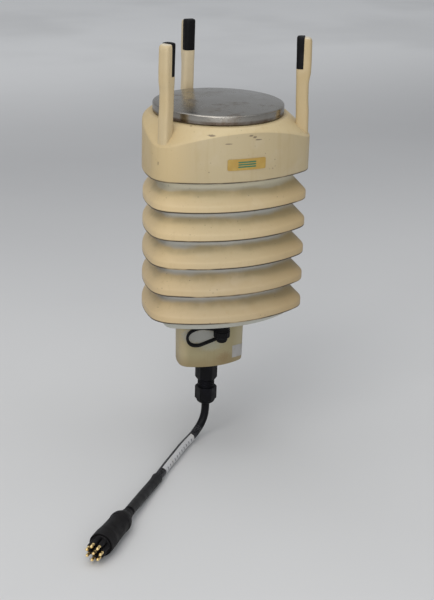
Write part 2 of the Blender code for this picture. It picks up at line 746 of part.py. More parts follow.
def build_strap():
    out = Vector((math.cos(STRAP_HEADING), math.sin(STRAP_HEADING), 0))
    across = Vector((-out.y, out.x, 0))
    base = Vector((*PORT_CENTRE, 0))
    route = [base + out * reach + Vector((0, 0, z)) for reach, z in strap_route()]
    rings = []
    for i, point in enumerate(route):
        ahead = (route[min(i + 1, len(route) - 1)] - route[max(i - 1, 0)]).normalized()
        thick = ahead.cross(across).normalized() * STRAP_THICKNESS / 2
        wide = across * STRAP_WIDTH / 2
        rings.append([point + wide + thick, point - wide + thick, point - wide - thick, point + wide - thick])
    strap = add("cap_strap", loft_mesh("cap_strap", rings), "black_rubber")
    eye = [(0.0040, 0.0323), (0.0058, 0.0323), (0.0058, 0.0334), (0.0040, 0.0334)]
    eye_mesh = turned("strap_eye", eye, 16, PORT_CENTRE, ring_shaped=True)
    boolean(strap, cutter("strap_eye", eye_mesh), "UNION")


# ---------------------------------------------------------------- cable gland and lead


def hexagon(radius, z, centre, count=12):
    """A hexagon sampled at count points, so that it lofts to a circle of the same count."""
    ring = []
    flat = radius * math.cos(math.radians(30))
    for step in range(count):
        angle = 360 * step / count
        reach = flat / math.cos(math.radians((angle + 30) % 60 - 30))
        ring.append(polar(min(reach, radius), angle + GLAND_TURN, z) + Vector((*centre, 0)))
    return ring


def build_gland():
    at = GLAND_CENTRE
    centre = Vector((*at, 0))
    count = 12

    def ring(radius, z):
        return [centre + polar(radius, GLAND_TURN + 360 * step / count, z) for step in range(count)]

    low, high = COLLAR_FLOOR + GAP, 0.0070
    locknut = [hexagon(0.0086, low, at), hexagon(0.0086, high, at), ring(0.0064, high), ring(0.0064, low)]
    add("gland_locknut", loft_mesh("gland_locknut", locknut, ring_shaped=True), "black_plastic")
    seal_top = GLAND_RECESS[1] - GAP
    seal_bottom = seal_top - 0.0009
    seal = [(0.0064, seal_bottom), (0.0080, seal_bottom), (0.0080, seal_top), (0.0064, seal_top)]
    add("gland_seal_ring", turned("gland_seal_ring", seal, 16, at, ring_shaped=True), "black_rubber")

    bore = GLAND_BORE
    hex_top = seal_bottom - GAP
    rings = [
        ring(bore, 0.0085),
        ring(0.0060, 0.0085),
        ring(0.0060, hex_top),
        hexagon(GLAND_HEX, hex_top, at),
        hexagon(GLAND_HEX, GLAND_HEX_BOTTOM_Z, at),
        ring(GLAND_HEX * 0.89, GLAND_SHOULDER_Z),
        ring(GLAND_THREAD, GLAND_SHOULDER_Z),
        ring(GLAND_THREAD, GLAND_THREAD_END_Z),
        ring(bore, GLAND_THREAD_END_Z),
    ]
    add("gland_body", loft_mesh("gland_body", rings, ring_shaped=True), "black_plastic")
    top = GLAND_THREAD_END_Z - GAP
    bottom = top - 0.0055
    insert = [(bore, top), (0.0052, top), (0.0052, top - 0.0034), (0.0046, bottom), (bore, bottom)]
    add(
        "gland_clamp_insert",
        turned("gland_clamp_insert", insert, count, at, ring_shaped=True),
        "black_rubber",
        (*at, top),
    )
    rings = [
        ring(0.0059, GLAND_NUT_TOP_Z),
        ring(GLAND_HEX * 0.93, GLAND_NUT_TOP_Z),
        hexagon(GLAND_HEX * 0.99, GLAND_NUT_TOP_Z - 0.0004, at),
        hexagon(GLAND_HEX * 0.99, GLAND_NUT_HEX_BOTTOM_Z, at),
        ring(GLAND_HEX * 0.86, GLAND_NUT_HEX_BOTTOM_Z - 0.0006),
        ring(0.0062, -0.0322),
        ring(0.0048, GLAND_END_Z),
        ring(0.0036, GLAND_END_Z),
        ring(0.0036, -0.0322),
        ring(0.0056, GLAND_NUT_HEX_BOTTOM_Z + 0.0001),
        ring(0.0059, GLAND_NUT_HEX_BOTTOM_Z + 0.0016),
    ]
    nut = loft_mesh("gland_nut", rings, ring_shaped=True)
    add("gland_nut", nut, "black_plastic", (*at, GLAND_NUT_TOP_Z))


def build_cable():
    """The free lead from the gland to the connector, and the short length inside the gland and collar."""
    route, length = smooth_route([Vector(p) for p in CABLE_ROUTE], CABLE_POINTS)
    curve = bpy.data.curves.new("lead", "CURVE")
    curve.dimensions = "3D"
    curve.bevel_depth = CABLE_DIAMETER / 2
    curve.bevel_resolution = 2
    curve.use_fill_caps = True
    spline = curve.splines.new("POLY")
    spline.points.add(len(route) - 1)
    for point, place in zip(spline.points, route):
        point.co = (*place, 1.0)
    curve.materials.append(material("black_rubber"))
    lead = bpy.data.objects.new("cable", curve)
    bpy.context.scene.collection.objects.link(lead)

    tail = [(CABLE_DIAMETER / 2, z) for z in CABLE_TAIL_Z]
    add("cable_tail", turned("cable_tail", tail, 10, GLAND_CENTRE), "black_rubber")

    step = length / (CABLE_POINTS - 1)

    def along(distance):
        at = min(int(distance / step), CABLE_POINTS - 2)
        return route[at].lerp(route[at + 1], distance / step - at)

    def sleeve(name, span, slot):
        inside = [route[i] for i in range(CABLE_POINTS) if span[0] < i * step < span[1]]
        part = [along(span[0]), *inside, along(span[1])]
        layers = []
        for i, point in enumerate(part):
            ahead = (part[min(i + 1, len(part) - 1)] - part[max(i - 1, 0)]).normalized()
            layers.append((point, Vector((0, 0, 1)).rotation_difference(ahead).to_matrix()))
        outer, inner = CABLE_DIAMETER / 2 + 0.0007, CABLE_DIAMETER / 2 + 0.0004
        rings = [[point + turn @ p for p in circle(outer, 0, 8)] for point, turn in layers]
        rings += [[point + turn @ p for p in circle(inner, 0, 8)] for point, turn in reversed(layers)]
        add(name, loft_mesh(name, rings, ring_shaped=True), slot)

    sleeve("cable_label_sleeve", LABEL_SPAN, "clear_sleeve")
    sleeve("cable_shrink_sleeve", SHRINK_SPAN, "black_rubber")


# ---------------------------------------------------------------- connector


def build_connector():
    heading = Vector(CONNECTOR_HEADING).normalized()
    start = Vector(CABLE_ROUTE[-1]) + heading * GAP
    end = CONNECTOR_LENGTH
    boot = [
        (0.0042, 0.0),
        (0.0050, 0.0035),
        (0.0070, 0.0100),
        (0.0074, 0.0125),
        (0.0071, 0.0150),
        (0.0074, 0.0300),
        (0.0080, end - 0.0080),
        (0.0080, end - 0.0006),
        (0.0074, end),
    ]
    add("connector_boot", turned_along("connector_boot", boot, 16, start, heading), "black_rubber")

    turn = Vector((0, 0, 1)).rotation_difference(heading).to_matrix()
    face = start + heading * (end + GAP)
    centres = [Vector((0, 0, 0))]
    for number in range(RING_PINS):
        centres.append(polar(PIN_RING_RADIUS, 360 * number / RING_PINS + 12))
    plate = [(0.0070, 0.0), (0.0070, 0.0012)]
    insert = add("contact_insert", turned_along("contact_insert", plate, 20, face, heading), "black_rubber")
    for number, centre in enumerate(centres):
        base = face + turn @ centre
        stalk = [
            (STALK_RADIUS, 0.0006),
            (STALK_RADIUS, STALK_LENGTH - 0.0006),
            (STALK_RADIUS * 0.8, STALK_LENGTH),
        ]
        stalk_name = f"stalk_{number + 1}"
        boolean(insert, cutter(stalk_name, turned_along(stalk_name, stalk, 8, base, heading)), "UNION")
        name = f"contact_pin_{number + 1}"
        foot = base + heading * (STALK_LENGTH + GAP)
        pin = [
            (PIN_RADIUS, 0.0),
            (PIN_RADIUS, PIN_LENGTH - 0.0012),
            (PIN_RADIUS * 0.75, PIN_LENGTH - 0.0004),
            (PIN_RADIUS * 0.3, PIN_LENGTH),
        ]
        add(name, turned_along(name, pin, 8, foot, heading), "contact_gold")


def main():
    clear_scene()
    build_louvers()
    build_top_housing()
    build_rain_sensor()
    build_arms()
    build_name_plate()
    build_electronics()
    build_tie_screws()
    build_base()
    build_collar()
    build_service_port()
    build_strap()
    build_gland()
    build_cable()
    build_connector()


main()
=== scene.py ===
"""Looks for the ultrasonic weather transmitter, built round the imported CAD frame. Metres, +Z up."""

import math

import bmesh
import bpy
from mathutils import Matrix, Vector


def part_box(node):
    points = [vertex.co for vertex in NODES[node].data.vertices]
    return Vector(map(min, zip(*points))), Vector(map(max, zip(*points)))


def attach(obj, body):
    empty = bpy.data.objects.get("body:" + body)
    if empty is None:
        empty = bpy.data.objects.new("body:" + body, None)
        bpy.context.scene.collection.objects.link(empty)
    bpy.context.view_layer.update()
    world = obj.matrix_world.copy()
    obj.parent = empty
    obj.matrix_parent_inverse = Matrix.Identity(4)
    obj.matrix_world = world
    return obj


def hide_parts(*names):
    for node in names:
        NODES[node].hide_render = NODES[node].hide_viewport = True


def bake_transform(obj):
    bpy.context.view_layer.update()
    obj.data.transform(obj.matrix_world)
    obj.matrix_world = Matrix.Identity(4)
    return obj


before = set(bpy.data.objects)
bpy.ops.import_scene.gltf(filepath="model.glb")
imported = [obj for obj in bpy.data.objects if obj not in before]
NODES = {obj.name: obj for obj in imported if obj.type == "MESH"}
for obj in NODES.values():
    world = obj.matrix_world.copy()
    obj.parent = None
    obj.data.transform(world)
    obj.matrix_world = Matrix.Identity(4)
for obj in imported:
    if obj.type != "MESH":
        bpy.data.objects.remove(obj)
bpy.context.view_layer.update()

# ---------------------------------------------------------------- places and sizes


def low(node):
    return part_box(node)[0]


def high(node):
    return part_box(node)[1]


def span_z(node):
    """A node's lowest and highest z."""
    return low(node).z, high(node).z


LOBE_ANGLES = (90, 210, 330)
ARMS = {"back": 90, "left": 210, "right": 330}
LOUVERS = ["louver_1", "louver_2", "louver_3", "louver_4", "louver_5"]
LIP_Z = low("louver_1").z
PITCH = low("louver_2").z - LIP_Z

# Rounded-triangle outlines, as (lobe radius, flat radius, corner radius)
LOUVER_OUTLINE = (0.0635, 0.0514, 0.0186)
HOUSING_OUTLINE = (0.0643, 0.0522, 0.0190)
COLLAR_OUTLINE = (0.0270, 0.0214, 0.0080)
COLLAR_CENTRE = Vector((-0.0048, 0.0013, 0.0))
STICKER_DEGREES = (303, 336)
STICKER_Z = (0.0043, 0.0137)
STICKER_TILT = 0.0021
BASE_INSET = 0.0105
SCREW_CIRCLE = 0.0440
SCREW_HOLE = 0.0023
SEAT_Z = 0.1840
SEAT_RADIUS = 0.0488
SEAT_HOLE = 0.0400
ROOF_SLOPE = 0.86
FLOOR_Z = -0.0612
FLOOR_HALF = 12.0
PORT = Vector((-0.0056, -0.0300, 0.0))
STRAP_HEADING = math.radians(156.44)
STRAP_HALF_WIDTH = 0.0022
STRAP_HALF_THICKNESS = 0.00095
GLAND_TURN = math.radians(6.65)
GLAND_RECESS_RADIUS = 0.0092
GLAND_RECESS_DEPTH = 0.0012
GLAND = Vector((-0.0069, -0.0068, 0.0))
GLAND_HOLE = 0.0063
CABLE_RADIUS = 0.0030

# The lead's route from the gland to its connector, the same points as the CAD's
CABLE_ROUTE = (
    (-0.0069, -0.0068, -0.0339), (-0.0070, -0.0068, -0.0390), (-0.0077, -0.0071, -0.0435),
    (-0.0098, -0.0080, -0.0485), (-0.0137, -0.0099, -0.0530), (-0.0190, -0.0132, -0.0561),
    (-0.0250, -0.0182, -0.0572), (-0.0330, -0.0263, -0.0572), (-0.0430, -0.0376, -0.0572),
    (-0.0535, -0.0494, -0.0572), (-0.0636, -0.0612, -0.0572), (-0.0725, -0.0716, -0.0572),
    (-0.0812, -0.0815, -0.0568), (-0.0895, -0.0914, -0.0559), (-0.0975, -0.1011, -0.0548),
    (-0.1049, -0.1101, -0.0540),
)
CONNECTOR_HEADING = Vector((-0.666, -0.746, 0.024)).normalized()
CONNECTOR_LENGTH = 0.0455
PIN_RING_RADIUS = 0.0047

# What the lead wears, as distances along it from the gland, and the degrees round it that the label covers
FILM_SPAN = (0.020, 0.0995)
LABEL_SPAN = (0.032, 0.090)
LABEL_DEGREES = (94, 250)
SHRINK_SPAN = (0.1000, 0.1560)


# ---------------------------------------------------------------- outlines, profiles and routes


def polar(radius, degrees, z=0.0):
    return Vector((radius * math.cos(math.radians(degrees)), radius * math.sin(math.radians(degrees)), z))


def arc(centre, radius, middle_angle, half_angle, steps):
    """Points along an arc, up to the step before its end."""
    angles = [middle_angle - half_angle + 2 * half_angle * step / steps for step in range(steps)]
    return [centre + Vector((math.cos(angle), math.sin(angle))) * radius for angle in angles]


def side_back(lobe, flat, corner):
    """How far behind the axis a side arc's centre stands, so that it runs smoothly into the corner arcs."""
    reach = lobe - corner
    return (reach**2 - (flat - corner) ** 2) / (2 * (flat - corner) - reach)


def trilobe(outline, inset=0.0, corner_steps=20, side_steps=20):
    """One ring of (x, y) points: three corner arcs joined by three shallow side arcs, pulled in by inset."""
    lobe, flat, corner = (value - inset for value in outline)
    back = side_back(lobe, flat, corner)
    points = []
    for lobe_angle in LOBE_ANGLES:
        centre_angle = math.radians(lobe_angle)
        side_angle = centre_angle + math.radians(60)
        centre = Vector((math.cos(centre_angle), math.sin(centre_angle))) * (lobe - corner)
        side_centre = Vector((math.cos(side_angle), math.sin(side_angle))) * -back
        joint = centre - side_centre
        half_corner = (math.atan2(joint.y, joint.x) - centre_angle) % (2 * math.pi)
        points += arc(centre, corner, centre_angle, half_corner, corner_steps)
        points += arc(side_centre, flat + back, side_angle, math.radians(60) - half_corner, side_steps)
    return points


def trilobe_rings(outline, profile, centre=Vector((0, 0, 0))):
    """Rings for loft(): one rounded triangle for each (inset, z) of a profile."""
    rings = []
    for inset, z in profile:
        rings.append([Vector((p.x + centre.x, p.y + centre.y, z)) for p in trilobe(outline, inset)])
    return rings


def rounded(corners, closed=False, steps=5):
    """A profile with its corners eased. corners lists (a, b) or (a, b, radius)."""
    points = [Vector(corner[:2]) for corner in corners]
    radii = [corner[2] if len(corner) > 2 else 0.0 for corner in corners]
    eased = []
    for i, (point, radius) in enumerate(zip(points, radii)):
        is_end = not closed and i in (0, len(points) - 1)
        if radius == 0 or is_end:
            eased.append(point)
            continue
        before = points[i - 1] - point
        after = points[(i + 1) % len(points)] - point
        half = before.angle(after) / 2
        reach = min(radius / math.tan(half), 0.48 * before.length, 0.48 * after.length)
        start = point + before.normalized() * reach
        end = point + after.normalized() * reach
        for step in range(steps + 1):
            t = step / steps
            eased.append(start * (1 - t) ** 2 + point * 2 * t * (1 - t) + end * t**2)
    return eased


def band(inner, outer, lower, upper, inner_ease=0.0, outer_ease=0.0003):
    """A ring's closed profile: a rectangle with its inner and outer corners eased."""
    corners = [
        (inner, lower, inner_ease), (outer, lower, outer_ease), (outer, upper, outer_ease),
        (inner, upper, inner_ease),
    ]
    return rounded(corners, closed=True)


def soft_box(half_width, half_height, wide_power, high_power, count):
    """A soft-cornered rectangle's (across, up) points."""
    points = []
    for step in range(count):
        angle = 2 * math.pi * (step + 0.5) / count
        c, s = math.cos(angle), math.sin(angle)
        across = half_width * math.copysign(abs(c) ** wide_power, c)
        points.append((across, half_height * math.copysign(abs(s) ** high_power, s)))
    return points


def roof_z(radius):
    return SEAT_Z - ROOF_SLOPE * (radius - SEAT_RADIUS)


def smooth_route(points, count):
    """Evenly spaced points along one smooth curve through the route's own points, and its length."""
    padded = [2 * points[0] - points[1], *points, 2 * points[-1] - points[-2]]
    dense = []
    for i in range(1, len(padded) - 2):
        a, b, c, d = padded[i - 1 : i + 3]
        for step in range(16):
            t = step / 16
            bend = (2 * a - 5 * b + 4 * c - d) * t**2 + (3 * b - a - 3 * c + d) * t**3
            dense.append(0.5 * (2 * b + (c - a) * t + bend))
    dense.append(points[-1])
    lengths = [0.0]
    for before, after in zip(dense, dense[1:]):
        lengths.append(lengths[-1] + (after - before).length)
    even = []
    at = 0
    for step in range(count):
        wanted = lengths[-1] * step / (count - 1)
        while at < len(dense) - 2 and lengths[at + 1] < wanted:
            at += 1
        share = (wanted - lengths[at]) / max(lengths[at + 1] - lengths[at], 1e-9)
        even.append(dense[at].lerp(dense[at + 1], min(max(share, 0.0), 1.0)))
    return even, lengths[-1]


def way_on(points, i):
    """The way a route runs at its point i."""
    return points[min(i + 1, len(points) - 1)] - points[max(i - 1, 0)]


# ---------------------------------------------------------------- meshes and pieces


def loft(rings, ring_shaped=False):
    """A mesh over rings of equal point count: the last ring joins the first, or both ends are capped."""
    bm = bmesh.new()
    rows = [[bm.verts.new(point) for point in ring] for ring in rings]
    count = len(rows[0])
    pairs = list(zip(rows, rows[1:]))
    if ring_shaped:
        pairs.append((rows[-1], rows[0]))
    for lower, upper in pairs:
        for i in range(count):
            j = (i + 1) % count
            bm.faces.new((lower[i], lower[j], upper[j], upper[i]))
    if not ring_shaped:
        bm.faces.new(rows[0])
        bm.faces.new(rows[-1])
    return closed_mesh(bm)


def closed_mesh(bm):
    """The finished mesh, its faces turned outwards."""
    bmesh.ops.recalc_face_normals(bm, faces=bm.faces)
    mesh = bpy.data.meshes.new("mesh")
    bm.to_mesh(mesh)
    bm.free()
    return mesh


def turned(profile, segments, place=Matrix.Identity(4), ring_shaped=False, shape=None):
    """A solid of revolution over (radius, height) points; shape(angle, height, radius) changes radii."""
    rings = []
    for radius, height in profile:
        ring = []
        for step in range(segments):
            angle = 2 * math.pi * step / segments
            reach = shape(angle, height, radius) if shape else radius
            ring.append(place @ Vector((reach * math.cos(angle), reach * math.sin(angle), height)))
        rings.append(ring)
    return loft(rings, ring_shaped)


def at(point):
    return Matrix.Translation((point.x, point.y, 0.0))


def along(start, heading):
    turn = Vector((0, 0, 1)).rotation_difference(heading).to_matrix().to_4x4()
    return Matrix.Translation(start) @ turn


def piece(name, mesh, material, body="root", replaces=(), sharp=38):
    """Puts a mesh into the scene as one visible piece of the object."""
    mesh.name = name
    mesh.materials.clear()
    mesh.materials.append(material)
    mesh.shade_smooth()
    mesh.set_sharp_from_angle(angle=math.radians(sharp))
    obj = bpy.data.objects.new(name, mesh)
    bpy.context.scene.collection.objects.link(obj)
    if body:
        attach(obj, body)
    if replaces:
        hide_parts(*replaces)
    return obj


def joined(meshes):
    bm = bmesh.new()
    for mesh in meshes:
        bm.from_mesh(mesh)
    out = bpy.data.meshes.new("joined")
    bm.to_mesh(out)
    bm.free()
    return out


def with_booleans(mesh, steps):
    """The mesh after each (operation, other mesh) step, with EXACT Booleans applied."""
    helpers = [bpy.data.objects.new("solid", mesh)]
    for operation, other in steps:
        helper = bpy.data.objects.new("helper", other)
        modifier = helpers[0].modifiers.new(operation, "BOOLEAN")
        modifier.operation = operation
        modifier.object = helper
        helpers.append(helper)
    for helper in helpers:
        bpy.context.scene.collection.objects.link(helper)
    graph = bpy.context.evaluated_depsgraph_get()
    made = bpy.data.meshes.new_from_object(helpers[0].evaluated_get(graph))
    for helper in helpers:
        bpy.data.objects.remove(helper, do_unlink=True)
    return made


# ---------------------------------------------------------------- materials


class Paint:
    """A Principled material whose colour, roughness and bump are built up from procedural layers."""

    def __init__(self, name, metallic=0.0, specular=0.5, coat=0.0, coat_roughness=0.2):
        self.material = bpy.data.materials.new(name)
        self.material.use_nodes = True
        self.tree = self.material.node_tree
        self.shader = self.tree.nodes["Principled BSDF"]
        self.shader.inputs["Metallic"].default_value = metallic
        self.shader.inputs["Specular IOR Level"].default_value = specular
        self.shader.inputs["Coat Weight"].default_value = coat
        self.shader.inputs["Coat Roughness"].default_value = coat_roughness
        self.coords = self.node("ShaderNodeTexCoord").outputs["Object"]
        self.colour = None
        self.roughness = None
        self.normal = None

    def node(self, kind, inputs=None, **settings):
        """A new node with its settings, and its inputs linked to sockets or set to values."""
        made = self.tree.nodes.new(kind)
        for key, value in settings.items():
            setattr(made, key, value)
        for socket, source in (inputs or {}).items():
            self.link(source, made.inputs[socket])
        return made

    def link(self, source, socket):
        if isinstance(source, bpy.types.NodeSocket):
            self.tree.links.new(source, socket)
        else:
            socket.default_value = source

    def math(self, operation, a, b=0.0, clamp=False):
        return self.node("ShaderNodeMath", {0: a, 1: b}, operation=operation, use_clamp=clamp).outputs[0]

    def times(self, a, b, clamp=False):
        return self.math("MULTIPLY", a, b, clamp)

    def vector(self, operation, a, b=(0, 0, 0)):
        made = self.node("ShaderNodeVectorMath", {0: a, 1: b}, operation=operation)
        return made.outputs["Value" if operation in ("LENGTH", "DOT_PRODUCT") else "Vector"]

    def stretched(self, scale, offset=(0, 0, 0)):
        inputs = {"Vector": self.coords, "Scale": scale, "Location": offset}
        return self.node("ShaderNodeMapping", inputs).outputs["Vector"]

    def axis(self, name):
        return self.node("ShaderNodeSeparateXYZ", {0: self.coords}).outputs[name]

    def noise(self, scale, detail=3.0, roughness=0.5, vector=None, distortion=0.0):
        inputs = {"Vector": vector or self.coords, "Scale": scale, "Detail": detail}
        inputs.update({"Roughness": roughness, "Distortion": distortion})
        return self.node("ShaderNodeTexNoise", inputs).outputs["Fac"]

    def between(self, value, start, end, low_value=0.0, high_value=1.0):
        """value mapped smoothly from start..end to low_value..high_value."""
        inputs = {"Value": value, "From Min": start, "From Max": end}
        inputs.update({"To Min": low_value, "To Max": high_value})
        return self.node("ShaderNodeMapRange", inputs, interpolation_type="SMOOTHSTEP").outputs["Result"]

    def ramp(self, axis, start, end, low_value=0.0, high_value=1.0):
        """From low_value at start to high_value at end, along one axis."""
        return self.between(self.axis(axis), start, end, low_value, high_value)

    def patches(self, start, end, *noise):
        """0 where a noise is below start and 1 where it is above end."""
        return self.between(self.noise(*noise), start, end)

    def spots(self, scale, size):
        """1 inside small round spots, 0 outside."""
        made = self.node("ShaderNodeTexVoronoi", {"Vector": self.coords, "Scale": scale}, feature="F1")
        return self.between(made.outputs["Distance"], size, size * 0.5)

    def blot(self, centre, size, turn=0.0, softness=0.5):
        """1 inside one oval patch round a point, with a ragged edge."""
        offset = self.vector("SUBTRACT", self.coords, centre)
        spin = self.node("ShaderNodeVectorRotate", {"Vector": offset, "Angle": turn}, rotation_type="Z_AXIS")
        length = self.vector("LENGTH", self.vector("DIVIDE", spin.outputs[0], size))
        ragged = self.math("ADD", length, self.noise(900, 2, 0.6))
        return self.between(ragged, 1.5, 1.5 - softness)

    def base(self, colour):
        self.colour = self.node("ShaderNodeRGB").outputs[0]
        self.colour.default_value = (*colour, 1.0)
        return self

    def tint(self, colour, amount, strength=1.0, mode="MIX"):
        """Lays colour over what is there, where amount is 1."""
        inputs = {0: self.times(amount, strength, clamp=True), 6: self.colour, 7: (*colour, 1.0)}
        self.colour = self.node("ShaderNodeMix", inputs, data_type="RGBA", blend_type=mode).outputs[2]
        return self

    def mottle(self, colour, strength, start, end, *noise):
        """Lays colour in a noise's patches."""
        return self.tint(colour, self.patches(start, end, *noise), strength)

    def rough(self, low_value, high_value, *noise):
        self.roughness = self.between(self.noise(*noise), 0.3, 0.7, low_value, high_value)
        return self

    def rougher(self, amount, by):
        self.roughness = self.math("ADD", self.roughness, self.times(amount, by), clamp=True)
        return self

    def bump(self, height, distance, strength=1.0):
        inputs = {"Height": height, "Distance": distance, "Strength": strength}
        if self.normal is not None:
            inputs["Normal"] = self.normal
        self.normal = self.node("ShaderNodeBump", inputs).outputs["Normal"]
        return self

    def grain(self, distance, strength, *noise):
        """A noise's bumps."""
        return self.bump(self.noise(*noise), distance, strength)

    def done(self):
        self.link(self.colour, self.shader.inputs["Base Color"])
        self.link(self.roughness, self.shader.inputs["Roughness"])
        if self.normal is not None:
            self.link(self.normal, self.shader.inputs["Normal"])
        return self.material


CREAM = (0.600, 0.485, 0.285)
PALE = (0.660, 0.560, 0.390)
# Peach tint, used as a painted highlight low on each louvre plate.
PEACH_HIGHLIGHT = (0.630, 0.475, 0.285)
TAN = (0.520, 0.385, 0.195)
# Deeper tan for painted shade towards +X, and paler yellow for painted light towards -X.
SHADE_TAN = (0.430, 0.305, 0.130)
LIT_YELLOW = (0.680, 0.520, 0.280)
DIRT = (0.100, 0.075, 0.050)
# Dark edge colour: grime, and painted contact shade along lower edges.
EDGE_GRIME_AND_SHADE = (0.035, 0.026, 0.020)
UNAGED_GREY = (0.51, 0.515, 0.48)


def weathered(name, colour, pale=PALE, tan=TAN, tan_strength=0.5, side_shade=0.45, side_light=0.1):
    """Sun-yellowed plastic: cloudy yellowing, faint rain streaks, fine grime specks and a satin grain, with
    a deeper tan towards +X, partly uneven yellowing and partly painted shade, and paler yellow towards -X as
    painted light.
    """
    paint = Paint(name, specular=0.38).base(colour)
    clouds = paint.noise(28, 4, 0.55, distortion=0.4)
    paint.tint(tan, paint.between(clouds, 0.45, 0.75), tan_strength)
    paint.mottle(pale, 0.45, 0.5, 0.8, 55, 3, 0.5)
    # Painted shade, partly uneven yellowing: deeper tan towards +X, the side away from the key light.
    paint.tint(SHADE_TAN, paint.ramp("X", -0.005, 0.055), side_shade)
    # Painted light: paler yellow towards -X, the side the key light falls on.
    paint.tint(LIT_YELLOW, paint.ramp("X", -0.020, -0.052), side_light)
    streaks = paint.noise(1.0, 4, 0.6, vector=paint.stretched((320, 320, 22)))
    paint.tint(tan, paint.between(streaks, 0.52, 0.78), 0.40)
    paint.mottle(DIRT, 0.30, 0.64, 0.80, 650, 3, 0.65)
    specks = paint.times(paint.spots(260, 0.16), paint.patches(0.50, 0.64, 70, 2))
    paint.tint(DIRT, specks, 0.55)
    paint.rough(0.42, 0.58, 90, 3, 0.6)
    paint.grain(0.00002, 0.5, 2600, 2, 0.5)
    paint.bump(clouds, 0.0002, 0.25)
    return paint


def cream_for_louvers():
    """The plates: their shaded necks keep their first grey, grime and painted shade line the lips' edges, a
    painted shadow falls under each lip, and a painted highlight sits low on each plate.
    """
    paint = weathered("louver_cream", CREAM, side_shade=0.82, side_light=0.85)
    rise = paint.math("SUBTRACT", paint.axis("Z"), LIP_Z - 0.0002)
    height = paint.math("MODULO", paint.math("ADD", rise, PITCH), PITCH)
    # Painted highlight: a peach tint on the lower slope and lip of each plate.
    paint.tint(PEACH_HIGHLIGHT, paint.between(height, 0.0120, 0.0060), 0.30)
    wander = paint.times(paint.math("SUBTRACT", paint.noise(38, 3), 0.5), 0.0060)
    wandered = paint.math("ADD", height, wander)
    # Painted shadow: an olive-dark band, broken into patches, where the lip above shades the top of each
    # slope.
    shadow_patches = paint.patches(0.36, 0.60, 30, 4, 0.6, paint.stretched((1, 1, 0.2)))
    olive = paint.times(paint.between(wandered, 0.0090, 0.0122), shadow_patches)
    paint.tint((0.33, 0.27, 0.15), olive, 0.50)
    shaded = paint.ramp("X", 0.050, 0.020, 0.50, 0.92)
    unaged = paint.times(paint.between(wandered, 0.0128, 0.0162), shaded)
    paint.tint(UNAGED_GREY, unaged)
    # The topmost neck under the housing painted lighter and yellower: partly its yellower tone, partly
    # painted light where the housing shades it less than a plate would.
    paint.tint((0.66, 0.59, 0.41), paint.times(unaged, paint.ramp("Z", 0.134, 0.139)), 0.75)
    neck = paint.between(height, 0.0135, 0.0165)
    old_grime = paint.times(neck, paint.patches(0.60, 0.72, 420, 4, 0.6))
    paint.tint((0.30, 0.29, 0.22), old_grime, 0.5)
    # Painted shade: the plates darkened towards the bottom of the stack.
    paint.tint((0.87, 0.86, 0.87), paint.ramp("Z", 0.125, 0.055), 1.0, "MULTIPLY")
    # Dark line along each lip's lower edge: grime, and painted contact shade under the lip.
    ragged = paint.math("ADD", height, paint.times(wander, 0.08))
    edge = paint.between(ragged, 0.00155, 0.00095)
    patchy = paint.between(paint.noise(34, 3, vector=paint.stretched((1, 1, 1.7))), 0.30, 0.52, 0.25, 1.0)
    paint.tint(EDGE_GRIME_AND_SHADE, paint.times(edge, patchy), 0.95)
    return paint.done()


def cream_for_housing():
    """The top housing: its wall painted darker than its roof as painted shade, a few dark scuffs, and a
    lower edge darkened by grime and painted shade.
    """
    paint = weathered("housing_cream", CREAM, tan_strength=0.4, side_shade=0.12)
    paint.tint(TAN, paint.ramp("X", -0.022, -0.050), 0.55)
    # Painted shade: the steep wall darker than the roof, except at the far left where the light falls on it.
    normal = paint.node("ShaderNodeTexCoord").outputs["Normal"]
    upward = paint.node("ShaderNodeSeparateXYZ", {0: normal})
    wall = paint.between(upward.outputs["Z"], 0.45, 0.15)
    shaded_wall = paint.times(wall, paint.ramp("X", -0.052, -0.030))
    paint.tint((0.83, 0.84, 0.87), shaded_wall, 1.0, "MULTIPLY")
    scuffs = (
        ((-0.0343, -0.0343, 0.1843), (0.0013, 0.0010, 0.0016), 0.3),
        ((-0.0250, -0.0476, 0.1797), (0.0034, 0.0012, 0.0011), 0.5),
        ((0.0016, -0.0523, 0.1787), (0.0020, 0.0020, 0.0007), 0.0),
        ((0.0046, -0.0523, 0.1776), (0.0018, 0.0020, 0.0009), 0.0),
        ((0.0075, -0.0520, 0.1757), (0.0028, 0.0020, 0.0007), 0.0),
        ((-0.0140, -0.0512, 0.1740), (0.0030, 0.0020, 0.0005), 0.0),
        ((-0.0560, -0.0300, 0.1590), (0.0008, 0.0020, 0.0022), 0.0),
    )
    for centre, size, turn in scuffs:
        paint.tint((0.09, 0.06, 0.045), paint.blot(centre, size, turn), 0.70)
    # Lower edge darkened: grime, and painted shade along the edge.
    rise = paint.math("SUBTRACT", paint.axis("Z"), low("top_housing").z)
    edge = paint.between(rise, 0.0014, 0.0007)
    patchy = paint.between(paint.noise(38, 3), 0.36, 0.58, 0.1, 1.0)
    paint.tint(EDGE_GRIME_AND_SHADE, paint.times(edge, patchy), 0.9)
    return paint.done()


def cream_for_arms():
    """The wind arms, pale at their tops: rubbed paint, and a painted highlight on the rounded top edge."""
    paint = weathered("arm_cream", (0.555, 0.445, 0.270), tan_strength=0.4, side_shade=0.35)
    paint.tint(PALE, paint.ramp("Y", 0.0, 0.05), 0.55)
    # Pale band at the tops: rubbed paint, and a painted highlight where the top edge rounds over.
    height = paint.math("ADD", paint.axis("Z"), paint.times(paint.noise(300, 3), 0.002))
    rubbed = paint.between(height, 0.2380, 0.2396)
    paint.tint((0.74, 0.71, 0.62), rubbed, 0.7)
    return paint.done()


